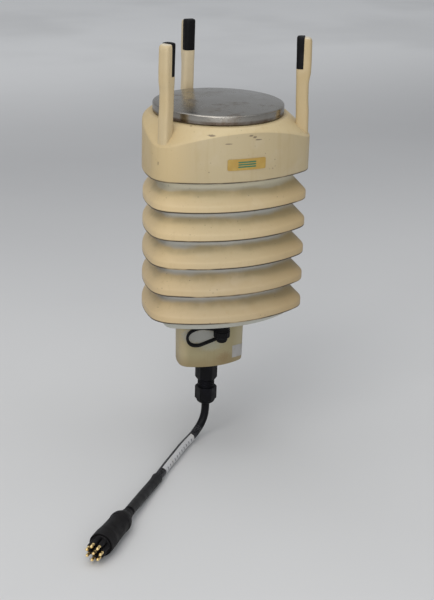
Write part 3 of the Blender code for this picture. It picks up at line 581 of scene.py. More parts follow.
def old_collar_plastic():
    """The collar's moulding: painted lighter and golden at its left edge as painted light, grey-white behind
    the strap, olive and brown below, and a painted shadow along its top.
    """
    pale, tan = (0.36, 0.32, 0.20), (0.25, 0.19, 0.085)
    paint = weathered("collar_plastic", (0.325, 0.278, 0.155), pale, tan, 0.6, 0.0)
    # Painted light: the left edge, turned towards the key light, painted lighter and golden.
    paint.tint((0.50, 0.41, 0.25), paint.ramp("X", -0.0230, -0.0300), 0.75)
    paint.tint((0.42, 0.37, 0.25), paint.ramp("X", 0.0080, 0.0150), 0.55)
    blots = (
        ((0.38, 0.385, 0.37), (-0.0165, -0.0185, 0.0245), (0.0190, 0.0150, 0.0080), 0.6, 0.85),
        ((0.36, 0.36, 0.29), (-0.0095, -0.0205, 0.0170), (0.0130, 0.0110, 0.0060), 0.8, 0.6),
        ((0.22, 0.130, 0.055), (0.0010, -0.0190, 0.0060), (0.0090, 0.0080, 0.0070), 0.9, 0.5),
    )
    for colour, centre, size, softness, strength in blots:
        paint.tint(colour, paint.blot(centre, size, softness=softness), strength)
    paint.tint((0.19, 0.10, 0.05), paint.spots(150, 0.12), 0.25)
    paint.tint((0.23, 0.165, 0.075), paint.ramp("Z", 0.0110, 0.0010), 0.55)
    # Painted shadow: the top of the collar darkened where the base pan above shades it.
    paint.tint((0.10, 0.085, 0.055), paint.ramp("Z", 0.0338, 0.0352), 0.6)
    return paint.done()


def grey_moulding():
    paint = Paint("grey_moulding", specular=0.4).base((0.48, 0.48, 0.43))
    paint.mottle((0.44, 0.41, 0.32), 0.5, 0.45, 0.75, 40, 4, 0.6)
    paint.mottle(DIRT, 0.25, 0.64, 0.80, 500, 3, 0.6)
    return paint.rough(0.45, 0.62, 100, 3).grain(0.00002, 0.5, 2400, 2).done()


def weathered_steel():
    """The rain disc: spun sheet with fine turning lines, clouded with brown deposits, its rim's lower part
    darkened by brown dirt and a painted dark reflection.
    """
    paint = Paint("weathered_steel", metallic=1.0).base((0.350, 0.332, 0.302))
    clouds = paint.noise(32, 5, 0.6, distortion=0.8)
    haze = paint.between(clouds, 0.42, 0.72)
    paint.tint((0.27, 0.235, 0.195), haze, 0.50)
    shifted = paint.stretched((1, 1, 1), (0.31, 0.12, 0))
    stains = paint.patches(0.56, 0.70, 60, 5, 0.65, shifted)
    paint.tint((0.15, 0.105, 0.070), stains, 0.50)
    paint.tint((0.12, 0.08, 0.05), paint.spots(240, 0.12), 0.35)
    # The rim's lower part: brown dirt, and a painted dark reflection of the dark surroundings below the
    # rim's highlight.
    rim_dirt_and_reflection = paint.ramp("Z", 0.1876, 0.1860)
    uneven = paint.between(clouds, 0.35, 0.6, 0.35, 1.0)
    paint.tint((0.10, 0.06, 0.035), paint.times(rim_dirt_and_reflection, uneven), 0.85)
    paint.rough(0.17, 0.28, 48, 4, 0.6)
    paint.rougher(haze, 0.07)
    paint.rougher(stains, 0.15)
    radius = paint.vector("LENGTH", paint.vector("MULTIPLY", paint.coords, (1, 1, 0)))
    lines = paint.node("ShaderNodeTexNoise", {"W": radius, "Scale": 4200}, noise_dimensions="1D")
    paint.bump(lines.outputs["Fac"], 0.00001, 0.22)
    paint.grain(0.0004, 0.12, 38, 3)
    return paint.done()


def plain_steel():
    paint = Paint("plain_steel", metallic=1.0).base((0.56, 0.55, 0.53))
    paint.mottle((0.36, 0.31, 0.25), 0.4, 0.5, 0.8, 180, 4)
    return paint.rough(0.25, 0.42, 240, 3).grain(0.00001, 0.4, 1800, 2).done()


def black_moulding():
    """Black nylon: satin, a little dusty, with pale rubbed spots."""
    paint = Paint("black_moulding", specular=0.11).base((0.0034, 0.0034, 0.0042))
    paint.mottle((0.045, 0.045, 0.050), 0.10, 0.54, 0.80, 220, 4, 0.65)
    paint.mottle((0.010, 0.010, 0.017), 0.5, 0.45, 0.75, 70, 3)
    return paint.rough(0.34, 0.55, 300, 3).grain(0.00003, 0.5, 2800, 2).done()


def black_rubber(name="black_rubber", colour=(0.0050, 0.0048, 0.0054), dust=0.14, specular=0.13):
    paint = Paint(name, specular=specular).base(colour)
    paint.mottle((0.070, 0.066, 0.064), dust, 0.54, 0.82, 130, 5, 0.7)
    return paint.rough(0.50, 0.72, 160, 3).grain(0.00005, 0.6, 1500, 3, 0.6).done()


def cable_jacket():
    """The lead's jacket: glossier than the mouldings, with faint scuffs in patches."""
    paint = Paint("cable_jacket", specular=0.14).base((0.0036, 0.0034, 0.0050))
    paint.mottle((0.030, 0.028, 0.042), 0.20, 0.52, 0.80, 260, 4, 0.7)
    return paint.rough(0.30, 0.48, 180, 3).grain(0.00005, 0.5, 900, 3).done()


def clear_film():
    """Clear shrink film: thin, glossy and a little cloudy."""
    paint = Paint("clear_film", specular=0.6, coat=0.4, coat_roughness=0.12).base((0.60, 0.60, 0.62))
    paint.mottle((0.45, 0.42, 0.36), 0.5, 0.45, 0.75, 150, 4)
    paint.rough(0.14, 0.28, 300, 3)
    paint.grain(0.0002, 0.5, 420, 3)
    cloudy = paint.between(paint.noise(240, 4, 0.6), 0.40, 0.80, 0.01, 0.05)
    paint.link(cloudy, paint.shader.inputs["Alpha"])
    return paint.done()


BARS_PER_METRE = 210
BAR_ROW_Z = -0.0564


def label_stock():
    """White label paper, yellowed in patches, with one row of plain equal bars and no lettering."""
    paint = Paint("label_stock", specular=0.35).base((0.56, 0.56, 0.565))
    paint.mottle((0.50, 0.47, 0.40), 0.5, 0.50, 0.80, 90, 4)
    lengthwise = paint.vector("DOT_PRODUCT", paint.coords, (CONNECTOR_HEADING.x, CONNECTOR_HEADING.y, 0.0))
    beat = paint.math("FRACT", paint.times(lengthwise, BARS_PER_METRE))
    stroke = paint.between(paint.math("ABSOLUTE", paint.math("SUBTRACT", beat, 0.5)), 0.16, 0.10)
    off_row = paint.math("ABSOLUTE", paint.math("SUBTRACT", paint.axis("Z"), BAR_ROW_Z))
    marks = paint.times(stroke, paint.between(off_row, 0.0013, 0.0009))
    paint.tint((0.07, 0.07, 0.085), marks, 0.80)
    return paint.rough(0.40, 0.60, 200, 3).grain(0.00002, 0.5, 1600, 2).done()


def plate_foil():
    """The name plate's gold-coloured foil, faded in patches."""
    paint = Paint("plate_foil", specular=0.4, coat=0.10, coat_roughness=0.3).base((0.43, 0.270, 0.060))
    paint.mottle((0.49, 0.34, 0.09), 0.6, 0.45, 0.70, 160, 3)
    paint.mottle((0.36, 0.24, 0.08), 0.5, 0.58, 0.78, 420, 4, 0.7)
    return paint.rough(0.32, 0.50, 300, 3).grain(0.00002, 0.4, 1200, 2).done()


def plate_ink():
    paint = Paint("plate_ink", specular=0.5).base((0.020, 0.150, 0.085))
    paint.mottle((0.07, 0.22, 0.12), 0.6, 0.45, 0.70, 900, 3)
    return paint.rough(0.35, 0.55, 500, 2).grain(0.00001, 0.4, 2000, 2).done()


def sticker_film():
    paint = Paint("sticker_film", specular=0.5).base((0.37, 0.358, 0.345))
    paint.mottle((0.29, 0.26, 0.20), 0.6, 0.45, 0.75, 200, 4)
    return paint.rough(0.38, 0.55, 300, 3).grain(0.00002, 0.5, 1500, 2).done()


def contact_gold():
    paint = Paint("contact_gold", metallic=1.0).base((1.0, 0.76, 0.36))
    paint.mottle((0.45, 0.27, 0.09), 0.35, 0.50, 0.75, 700, 4, 0.7)
    return paint.rough(0.20, 0.40, 600, 3).grain(0.00001, 0.4, 2500, 2).done()


def board_green():
    paint = Paint("board_green", specular=0.5, coat=0.4, coat_roughness=0.25).base((0.012, 0.110, 0.045))
    tracks = paint.noise(1.0, 1, 0.5, vector=paint.stretched((900, 120, 120)))
    paint.tint((0.03, 0.20, 0.09), paint.between(tracks, 0.50, 0.56), 0.8)
    paint.tint((0.55, 0.45, 0.20), paint.spots(420, 0.18), 0.8)
    paint.rough(0.30, 0.45, 400, 2)
    paint.bump(tracks, 0.00003, 0.5)
    return paint.done()


def filter_white():
    paint = Paint("filter_white", specular=0.3).base((0.74, 0.74, 0.72))
    paint.mottle((0.55, 0.52, 0.46), 0.5, 0.5, 0.8, 200, 4)
    return paint.rough(0.60, 0.80, 300, 3).grain(0.00006, 0.6, 2200, 3).done()


def floor_paint():
    paint = Paint("floor_paint", specular=0.2).base((0.67, 0.67, 0.67))
    # Painted shade and painted light: the floor darker from 0.1 to 0.8 m behind the object and lighter
    # beyond, for how the lamps fall off with distance.
    paint.tint((0.54, 0.54, 0.545), paint.ramp("Y", 0.10, 0.80))
    paint.tint((0.90, 0.90, 0.90), paint.ramp("Y", 0.75, 1.50))
    paint.mottle((0.60, 0.60, 0.60), 0.3, 0.4, 0.7, 3, 3)
    paint.rough(0.75, 0.9, 20, 3)
    return paint.done()


# ---------------------------------------------------------------- camera, light and floor

CAMERA_AT = Vector((-0.38244, -0.87704, 0.40293))
CAMERA_AIM = Vector((-0.00642, -0.02177, 0.05231))
CAMERA_ROLL = math.radians(1.63)
CAMERA_LENS = 83.98


def add_camera():
    data = bpy.data.cameras.new("camera")
    data.lens = CAMERA_LENS
    data.sensor_width = 36
    data.clip_start = 0.05
    data.clip_end = 20
    camera = bpy.data.objects.new("camera", data)
    camera.location = CAMERA_AT
    aim = (CAMERA_AIM - CAMERA_AT).to_track_quat("-Z", "Y").to_matrix()
    camera.rotation_euler = (aim @ Matrix.Rotation(CAMERA_ROLL, 3, "Z")).to_euler()
    bpy.context.scene.collection.objects.link(camera)
    bpy.context.scene.camera = camera


def add_area_light(name, place, aim, size, power, colour=(1, 1, 1)):
    data = bpy.data.lights.new(name, "AREA")
    data.shape = "RECTANGLE"
    data.size, data.size_y = size
    data.energy = power
    data.color = colour
    light = bpy.data.objects.new(name, data)
    light.location = place
    light.rotation_euler = (Vector(aim) - Vector(place)).to_track_quat("-Z", "Y").to_euler()
    bpy.context.scene.collection.objects.link(light)


def add_studio():
    world = bpy.data.worlds.new("studio")
    world.use_nodes = True
    background = world.node_tree.nodes["Background"]
    background.inputs["Color"].default_value = (0.93, 0.96, 1.0, 1.0)
    background.inputs["Strength"].default_value = 0.43
    bpy.context.scene.world = world
    bpy.context.scene.view_settings.view_transform = "Standard"
    aim = (0, 0, 0.1)
    add_area_light("key", (-1.1, -1.0, 1.5), aim, (1.2, 1.2), 12.5, (1.0, 0.985, 0.96))
    add_area_light("overhead", (-0.1, 0.1, 1.7), aim, (1.6, 1.6), 8.5)
    add_area_light("window", (-0.55, -1.75, 0.50), aim, (1.3, 0.8), 9)

    mesh = bpy.data.meshes.new("floor")
    corners = [(x * FLOOR_HALF, y * FLOOR_HALF, FLOOR_Z) for x, y in ((-1, -1), (1, -1), (1, 1), (-1, 1))]
    mesh.from_pydata(corners, [], [(0, 1, 2, 3)])
    mesh.materials.append(floor_paint())
    floor = bpy.data.objects.new("floor", mesh)
    bpy.context.scene.collection.objects.link(floor)


# ---------------------------------------------------------------- the lead and its connector


LEAD_POINTS, LEAD_LENGTH = smooth_route([Vector(p) for p in CABLE_ROUTE], 121)
LEAD_STEP = LEAD_LENGTH / (len(LEAD_POINTS) - 1)


def lead_frame(i):
    """A point of the lead's route, the level direction across it and the direction square to both."""
    ahead = way_on(LEAD_POINTS, i).normalized()
    side = ahead.cross(Vector((0, 0, 1))).normalized()
    return LEAD_POINTS[i], side, side.cross(ahead)


def lead_shell(span, radius, wall, segments=40, degrees=(0.0, 360.0)):
    """A tube, or part of one, along the lead between two distances. radius(share) is its outer radius."""
    first, last = (round(distance / LEAD_STEP) for distance in span)
    turn = degrees[1] - degrees[0]
    is_whole = turn >= 360
    count = segments if is_whole else segments + 1
    angles = [math.radians(degrees[0] + turn * i / segments) for i in range(count)]
    outer, inner = [], []
    for i in range(first, last + 1):
        point, side, up = lead_frame(i)
        reach = radius((i - first) / (last - first))
        outer.append([point + (side * math.cos(a) + up * math.sin(a)) * reach for a in angles])
        inner.append([point + (side * math.cos(a) + up * math.sin(a)) * (reach - wall) for a in angles])
    if is_whole:
        return loft(outer + inner[::-1], ring_shaped=True)
    return loft([out + into[::-1] for out, into in zip(outer, inner)])


def lead_curve(jacket):
    curve = bpy.data.curves.new("lead", "CURVE")
    curve.dimensions = "3D"
    curve.bevel_depth = CABLE_RADIUS
    curve.bevel_resolution = 6
    curve.use_fill_caps = True
    spline = curve.splines.new("POLY")
    spline.points.add(len(LEAD_POINTS) - 1)
    for point, place in zip(spline.points, LEAD_POINTS):
        point.co = (*place, 1.0)
    curve.materials.append(jacket)
    lead = bpy.data.objects.new("lead", curve)
    bpy.context.scene.collection.objects.link(lead)
    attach(lead, "root")
    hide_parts("cable")
    return lead


def sleeves(film, paper, shrink_film):
    """The clear sleeve, the label inside it, and the black shrink sleeve."""

    def loose(share):
        """The film stands off a little and closes on the jacket at its two ends."""
        return CABLE_RADIUS + 0.00055 + 0.00012 * math.sin(share * 23) - 0.00025 * (2 * share - 1) ** 8

    def shrunk(share):
        rim = 0.00035 * math.exp(-((share / 0.05) ** 2))
        return CABLE_RADIUS + 0.00055 + rim - 0.00004 * math.sin(share * 9)

    def snug(share):
        return CABLE_RADIUS + 0.00022

    clear = lead_shell(FILM_SPAN, loose, 0.00025)
    label = lead_shell(LABEL_SPAN, snug, 0.00015, 32, LABEL_DEGREES)
    shrink = lead_shell(SHRINK_SPAN, shrunk, 0.0004)
    return [
        piece("clear_sleeve", clear, film, replaces=["cable_label_sleeve"]),
        piece("cable_label", label, paper),
        piece("shrink_sleeve", shrink, shrink_film, replaces=["cable_shrink_sleeve"]),
    ]


def connector(rubber, gold):
    """The moulded boot, the contact pins, and the insert with a rubber stalk round each pin."""
    start = LEAD_POINTS[-1] + CONNECTOR_HEADING * 0.0003
    end = CONNECTOR_LENGTH
    profile = rounded([
        (0.0031, 0.0), (0.0037, 0.0, 0.0004), (0.0044, 0.0045, 0.004), (0.0070, 0.0105, 0.003),
        (0.0074, 0.0128, 0.0008), (0.0074, 0.0148, 0.0004), (0.0070, 0.0151, 0.0004),
        (0.0073, 0.0290, 0.010), (0.0079, end - 0.0085, 0.004), (0.0079, end, 0.0008),
        (0.0070, end, 0.0004), (0.0068, end - 0.0016),
    ])
    mesh = turned(profile, 64, along(start, CONNECTOR_HEADING))
    boot = piece("connector_body", mesh, rubber, replaces=["connector_boot"])
    face = along(start + CONNECTOR_HEADING * (end - 0.0014), CONNECTOR_HEADING)
    block = rounded([(0.0002, 0.0), (0.0066, 0.0), (0.0066, 0.0022, 0.0006), (0.0002, 0.0022)])
    foot = 0.0020
    stalk = rounded([
        (0.0021, foot - 0.0006), (0.0017, foot + 0.0008, 0.0008), (0.0016, 0.0090, 0.0010),
        (0.0013, 0.0094, 0.0003), (0.0009, 0.0096),
    ])
    pin = rounded([
        (0.0004, 0.0), (0.0010, 0.0, 0.0002), (0.0010, 0.0012), (0.0009, 0.0014),
        (0.0010, 0.0016), (0.0010, 0.0036, 0.0010), (0.0005, 0.0045, 0.0004), (0.0001, 0.0046),
    ])
    meshes = [turned(block, 48, face)]
    pins = []
    ring = [polar(0, 0)] + [polar(PIN_RING_RADIUS, 360 * number / 7 + 12) for number in range(7)]
    for number, centre in enumerate(ring, 1):
        meshes.append(turned(stalk, 24, along(face @ centre, CONNECTOR_HEADING)))
        node = f"contact_pin_{number}"
        mesh = turned(pin, 24, along(rear_end(node), CONNECTOR_HEADING))
        pins.append(piece(f"pin_tip_{number}", mesh, gold, replaces=[node]))
    insert = piece("pin_block", joined(meshes), rubber, replaces=["contact_insert"])
    return [boot, insert, *pins]


def add_lead(jacket, film, paper, shrink_film, rubber, gold):
    lead = lead_curve(jacket)
    carried = sleeves(film, paper, shrink_film) + connector(rubber, gold)


def rear_end(node):
    """The middle of a contact pin's rear face, from the points of its node furthest back."""
    points = [v.co for v in NODES[node].data.vertices]
    nearest = min(p.dot(CONNECTOR_HEADING) for p in points)
    rear = [p for p in points if p.dot(CONNECTOR_HEADING) < nearest + 0.0001]
    return sum(rear, Vector()) / len(rear)


# ---------------------------------------------------------------- the louvre stack


def louver_mesh():
    """One plate with its lip's lower edge at height 0, and its screw bosses."""
    profile = rounded(
        [
            (0.0000, 0.0000, 0.0006), (0.0000, 0.0052, 0.0026), (0.0098, 0.0154, 0.0034),
            (0.0098, 0.0213, 0.0004), (0.0120, 0.0213, 0.0004), (0.0120, 0.0146, 0.0030),
            (0.0023, 0.0044, 0.0020), (0.0018, 0.0000, 0.0006),
        ],
        closed=True,
    )
    bosses, holes = [], []
    for angle in LOBE_ANGLES:
        outline = [polar(0.0039, 45 + 270 * i / 16) + Vector((SCREW_CIRCLE, 0, 0)) for i in range(17)]
        outline += [Vector((0.0526, -0.0016, 0)), Vector((0.0526, 0.0016, 0))]
        turn = Matrix.Rotation(math.radians(angle), 4, "Z")
        rings = [[turn @ (p + Vector((0, 0, z))) for p in outline] for z in (0.0040, 0.0237)]
        bosses.append(loft(rings))
        hole = [(SCREW_HOLE, -0.001), (SCREW_HOLE, 0.026)]
        holes.append(turned(hole, 24, at(polar(SCREW_CIRCLE, angle))))
    plate = loft(trilobe_rings(LOUVER_OUTLINE, profile), ring_shaped=True)
    return with_booleans(plate, [("UNION", joined(bosses)), ("DIFFERENCE", joined(holes))])


def add_louvers(cream):
    first = louver_mesh()
    for name in LOUVERS:
        plate = first.copy()
        plate.transform(Matrix.Translation((0, 0, low(name).z)))
        piece(f"plate_{name}", plate, cream, replaces=[name])


# ---------------------------------------------------------------- top housing and what stands on it


def add_top_housing(cream):
    edge = low("top_housing").z
    wall = 0.0025
    fillet = 0.0013
    outline = trilobe(HOUSING_OUTLINE)

    def on_roof(points, drop=0.0):
        return [Vector((p.x, p.y, roof_z(p.length) - drop)) for p in points]

    def eased(inset):
        """A ring on the roof's rounded edge, inset from the outline."""
        drop = 0.62 * fillet * (1 - math.sqrt(max(0.0, 1 - (1 - inset / fillet) ** 2)))
        return on_roof(trilobe(HOUSING_OUTLINE, inset), drop)

    def blended(share):
        inner = [p.normalized() * SEAT_RADIUS for p in outline]
        rim = trilobe(HOUSING_OUTLINE, fillet)
        return on_roof([a.lerp(b, share) for a, b in zip(rim, inner)])

    def seat(radius, z):
        return [Vector((*(p.normalized() * radius), z)) for p in outline]

    skirt = [(0.0020, edge), (0.0006, edge), (0.0001, edge + 0.0002), (0.0, edge + 0.0007), (0.0, 0.1600)]
    rings = trilobe_rings(HOUSING_OUTLINE, skirt)
    rings += [eased(fillet * (1 - math.cos(math.radians(a)))) for a in range(0, 91, 15)]
    rings += [blended(share) for share in (0.2, 0.4, 0.6, 0.8, 0.95)]
    rings += [
        seat(SEAT_RADIUS - 0.0004, SEAT_Z - 0.0001),
        seat(SEAT_RADIUS - 0.0012, SEAT_Z),
        seat(SEAT_HOLE + 0.0003, SEAT_Z),
        seat(SEAT_HOLE, SEAT_Z - 0.0003),
        seat(SEAT_HOLE, SEAT_Z - wall),
        seat(SEAT_RADIUS - 0.0012, SEAT_Z - wall),
    ]
    rings.append(on_roof(trilobe(HOUSING_OUTLINE, wall + 0.0004), 0.0036))
    rings += trilobe_rings(HOUSING_OUTLINE, [(wall, edge + 0.0004)])
    mesh = loft(rings, ring_shaped=True)
    piece("housing_shell", mesh, cream, replaces=["top_housing"])


def add_rain_disc(steel, rubber):
    rim, bottom, top = high("rain_disc").x, low("rain_disc").z - 0.0009, high("rain_disc").z
    sheet = 0.0011
    crown_radius, crown_drop = 0.0440, 0.0020
    radii = (0.0004, 0.008, 0.016, 0.024, 0.032, 0.039)
    crown = [(radius, top - crown_drop * (radius / crown_radius) ** 2) for radius in radii]
    under = [(radius, z - sheet) for radius, z in crown]
    shoulder = rounded(
        [
            crown[-1], (0.0444, top - 0.0021, 0.004), (rim, top - 0.0026, 0.0016),
            (rim, bottom, 0.0003), (rim - sheet, bottom, 0.0003),
            (rim - sheet, top - 0.0036, 0.0012), under[-1],
        ],
        steps=7,
    )
    profile = crown[:-1] + [tuple(p) for p in shoulder] + under[-2::-1]
    piece("rain_disc_skin", turned(profile, 144), steel, replaces=["rain_disc"])
    gasket = turned(band(0.0425, 0.0443, *span_z("disc_gasket")), 120, ring_shaped=True)
    piece("gasket_ring", gasket, rubber, replaces=["disc_gasket"])


def section(inner, outer, half_width):
    """A soft-cornered rectangle across an arm, in the arm's own radial and tangential directions."""
    centre = (inner + outer) / 2
    return [(centre + x, y) for x, y in soft_box((outer - inner) / 2, half_width, 0.55, 0.55, 48)]


def arm_width(z):
    """An arm's inner radius, outer radius and half width at a height, eased between its stations."""
    stations = (
        (0.160, 0.0544, 0.0636, 0.00415), (0.1845, 0.0540, 0.0628, 0.00410),
        (0.1980, 0.0535, 0.0620, 0.00405), (0.2060, 0.0533, 0.0619, 0.00405),
        (0.2150, 0.0529, 0.0630, 0.00425), (0.2200, 0.0528, 0.0631, 0.00430),
        (0.2388, 0.0524, 0.0628, 0.00430),
    )
    for before, after in zip(stations, stations[1:]):
        if z <= after[0]:
            t = max(0.0, (z - before[0]) / (after[0] - before[0]))
            t = t * t * (3 - 2 * t)
            return [a + (b - a) * t for a, b in zip(before[1:], after[1:])]
    return list(stations[-1][1:])


# An arm's rounded top: how far its sides and its back have turned in at each drop below the top
ARM_TOP = (
    (0.0000, 0.0001, 0.0030), (0.0001, 0.0004, 0.0021), (0.0003, 0.0009, 0.0014),
    (0.0006, 0.0016, 0.0009), (0.0010, 0.0024, 0.0007), (0.0016, 0.0032, 0.0006),
)


def add_arms(cream, pad_black):
    top = high("arm_back").z + 0.0008
    split = 0.0577
    gap = 0.00015
    foot_top = 0.1845
    pad_bottom = low("transducer_back").z
    for name, angle in ARMS.items():
        turn = Matrix.Rotation(math.radians(angle), 4, "Z")

        def ring(points, z):
            return [turn @ Vector((x, y, z)) for x, y in points]

        def behind_pad(points, z):
            """The arm's own part of a section, outwards from the pad."""
            return ring([(max(x, split + gap), y) for x, y in points], z)

        def on_pad(points, z):
            return ring([(min(x, split), y) for x, y in points], z)

        foot = section(*arm_width(0.175))
        rings = [[turn @ Vector((x, y, roof_z(math.hypot(x, y)) - 0.0006)) for x, y in foot]]
        for i in range(29):
            z = foot_top + (pad_bottom - 0.0002 - foot_top) * i / 28
            rings.append(ring(section(*arm_width(z)), z))
        rings.append(behind_pad(section(*arm_width(pad_bottom)), pad_bottom - 0.0001))
        for i in range(9):
            z = pad_bottom + 0.0002 + (top - 0.0036 - pad_bottom) * i / 8
            rings.append(behind_pad(section(*arm_width(z)), z))
        inner, outer, half = arm_width(top)
        for side_in, back_in, drop in ARM_TOP:
            points = section(inner + side_in, outer - back_in, half - side_in)
            rings.append(behind_pad(points, top - drop))
        piece(f"wind_arm_{name}", loft(rings), cream, replaces=[f"arm_{name}"])

        rings = []
        for i in range(9):
            z = pad_bottom + (top - 0.0016 - pad_bottom) * i / 8
            pad_inner, pad_outer, pad_half = arm_width(z)
            rings.append(on_pad(section(pad_inner, pad_outer, pad_half - gap), z))
        for turn_in, drop in ((0.0001, 0.0008), (0.0004, 0.0003), (0.0009, 0.0001), (0.0016, 0.0)):
            points = section(inner + turn_in, outer - turn_in, half - gap - turn_in)
            rings.append(on_pad(points, top - drop))
        piece(f"transducer_pad_{name}", loft(rings), pad_black,
              replaces=[f"transducer_{name}"])


def wall_y(x):
    """The housing's front wall at x: the arc of its flat at -Y."""
    flat = HOUSING_OUTLINE[1]
    back = side_back(*HOUSING_OUTLINE)
    return back - math.sqrt((flat + back) ** 2 - x**2)


def curved_plate(centre, width, height, corner, inner, outer, columns=28):
    """A thin round-cornered plate that follows the housing's front wall, inner to outer metres off it."""
    outline = []
    for quadrant, (right, up) in enumerate(((1, 1), (-1, 1), (-1, -1), (1, -1))):
        mid = Vector((right * (width / 2 - corner), up * (height / 2 - corner)))
        for step in range(7):
            angle = math.radians(90 * quadrant + 15 * step)
            outline.append(mid + Vector((math.cos(angle), math.sin(angle))) * corner)
    bm = bmesh.new()
    bm.faces.new([bm.verts.new((p.x, p.y, 0)) for p in outline])
    for i in range(1, columns):
        x = -width / 2 + width * i / columns
        geometry = bm.verts[:] + bm.edges[:] + bm.faces[:]
        bmesh.ops.bisect_plane(bm, geom=geometry, plane_co=(x, 0, 0), plane_no=(1, 0, 0))
    made = bmesh.ops.extrude_face_region(bm, geom=bm.faces[:])
    top = {v for v in made["geom"] if isinstance(v, bmesh.types.BMVert)}
    ease = 0.00012
    for vert in bm.verts:
        x, z = vert.co.x, vert.co.y
        off = inner
        if vert in top:
            off = outer
            edge_distance = min(width / 2 - abs(x), height / 2 - abs(z))
            if edge_distance < ease:
                off = outer - ease
        world_x = centre[0] + x
        vert.co = Vector((world_x, wall_y(world_x) - off, centre[1] + z))
    return closed_mesh(bm)


def add_name_plate(foil, ink):
    """The plate, and a plain motif of three equal bars."""
    lower, upper = low("name_plate"), high("name_plate")
    spot, size = (lower + upper) / 2, upper - lower
    plate_corner, plate_back, plate_front = 0.0011, 0.0001, 0.00055
    width, height = size.x - 0.0004, size.z - 0.0002
    plate = curved_plate((spot.x, spot.z), width, height, plate_corner, plate_back, plate_front)
    piece("front_plate", plate, foil, replaces=["name_plate"])
    bar_width, bar_height, bar_corner = 0.0130, 0.0009, 0.0003
    bar_back, bar_front = 0.00045, 0.00062
    bars = []
    for offset in (0.0016, 0.0, -0.0016):
        centre = (spot.x, spot.z + offset)
        bars.append(curved_plate(centre, bar_width, bar_height, bar_corner, bar_back, bar_front, 12))
    piece("front_plate_bars", joined(bars), ink)


# ---------------------------------------------------------------- base, collar and service port


def add_base(grey):
    """The shallow pan under the stack, with its screws sunk into bosses."""
    bottom, rim = span_z("base_housing")
    wall = 0.0024
    profile = rounded([
        (BASE_INSET + 0.0080, bottom), (BASE_INSET + 0.0012, bottom, 0.0016),
        (BASE_INSET, bottom + 0.0030, 0.0024), (BASE_INSET, rim, 0.0004),
        (BASE_INSET + wall, rim, 0.0004), (BASE_INSET + wall, bottom + 0.0030, 0.0006),
        (BASE_INSET + 0.0080, bottom + 0.0026),
    ])
    over = 0.002
    holes = []
    for radius, place in ((0.0041, PORT), (0.0042, GLAND)):
        holes.append(turned([(radius, bottom - over), (radius, rim + over)], 40, at(place)))
    bosses = []
    for angle in LOBE_ANGLES:
        spot = at(polar(SCREW_CIRCLE, angle))
        bosses.append(turned([(0.0056, bottom + 0.0008), (0.0056, rim - 0.0002)], 32, spot))
        seat = bottom + 0.0024
        sink = [(0.0036, bottom - over), (0.0036, seat), (SCREW_HOLE, seat), (SCREW_HOLE, rim + over)]
        holes.append(turned(sink, 32, spot))
    steps = [("UNION", joined(bosses)), ("DIFFERENCE", joined(holes))]
    shell = with_booleans(loft(trilobe_rings(LOUVER_OUTLINE, profile)), steps)
    piece("base_shell", shell, grey, replaces=["base_housing"])


def off_flat(angle):
    """How far an angle is from the middle of a hexagon's nearest flat."""
    return (angle + math.radians(30)) % math.radians(60) - math.radians(30)


def add_screws(steel):
    socket_radii = (0.0015, 0.0017)

    def hexagon_socket(angle, height, radius):
        return radius / math.cos(off_flat(angle)) if radius in socket_radii else radius

    for number, angle in enumerate(LOBE_ANGLES, 1):
        name = f"tie_screw_{number}"
        bottom, top = span_z(name)
        profile = [
            (0.0002, bottom + 0.0008), (0.0015, bottom + 0.0008), (0.0015, bottom + 0.0002),
            (0.0017, bottom), (0.0030, bottom), (0.0032, bottom + 0.0003),
            (0.0032, bottom + 0.0019), (0.0020, bottom + 0.0019), (0.0020, top - 0.0010),
            (0.0012, top),
        ]
        mesh = turned(profile, 36, at(polar(SCREW_CIRCLE, angle)), shape=hexagon_socket)
        piece(f"stack_screw_{number}", mesh, steel, replaces=[name])


def add_collar(plastic, film, rubber):
    """The rounded-triangle stub, the gasket on its top edge and a small blank sticker on its side."""
    top = high("mast_collar").z
    wall = 0.0030
    draft = 0.0006
    profile = rounded(
        [
            (0.0070, 0.0), (0.0000, 0.0, 0.0013), (-draft, top, 0.0003),
            (wall - draft, top, 0.0003), (wall, 0.0034, 0.0015), (0.0070, 0.0030),
        ],
        steps=7,
    )
    hole = [
        (GLAND_RECESS_RADIUS, -0.002), (GLAND_RECESS_RADIUS, GLAND_RECESS_DEPTH),
        (GLAND_HOLE, GLAND_RECESS_DEPTH), (GLAND_HOLE, 0.006),
    ]
    shell = loft(trilobe_rings(COLLAR_OUTLINE, profile, COLLAR_CENTRE))
    shell = with_booleans(shell, [("DIFFERENCE", turned(hole, 64, at(GLAND)))])
    piece("collar_shell", shell, plastic, replaces=["mast_collar"])

    lower, upper = span_z("collar_gasket")
    inner, outer = wall - draft, -draft + 0.0002
    profile = [(outer, lower), (outer, upper), (inner, upper), (inner, lower)]
    seal = loft(trilobe_rings(COLLAR_OUTLINE, profile, COLLAR_CENTRE), ring_shaped=True)
    piece("collar_seal", seal, rubber, replaces=["collar_gasket"])

    outline = trilobe(COLLAR_OUTLINE, 0.0, 40, 60)
    start, end = STICKER_DEGREES
    facing = [p for p in outline if start <= math.degrees(math.atan2(p.y, p.x)) % 360 <= end]
    facing.sort(key=lambda p: math.atan2(p.y, p.x))
    back, front = 0.00005, 0.00018
    edge_low, edge_high = STICKER_Z
    across = []
    for i, point in enumerate(facing):
        ring = []
        for off, z in ((back, edge_low), (back, edge_high), (front, edge_high), (front, edge_low)):
            tilted = z - STICKER_TILT * i / len(facing)
            reach = point.length + draft * tilted / top + off
            ring.append(Vector((*(point.normalized() * reach), tilted)) + COLLAR_CENTRE)
        across.append(ring)
    piece("collar_sticker", loft(across), film)


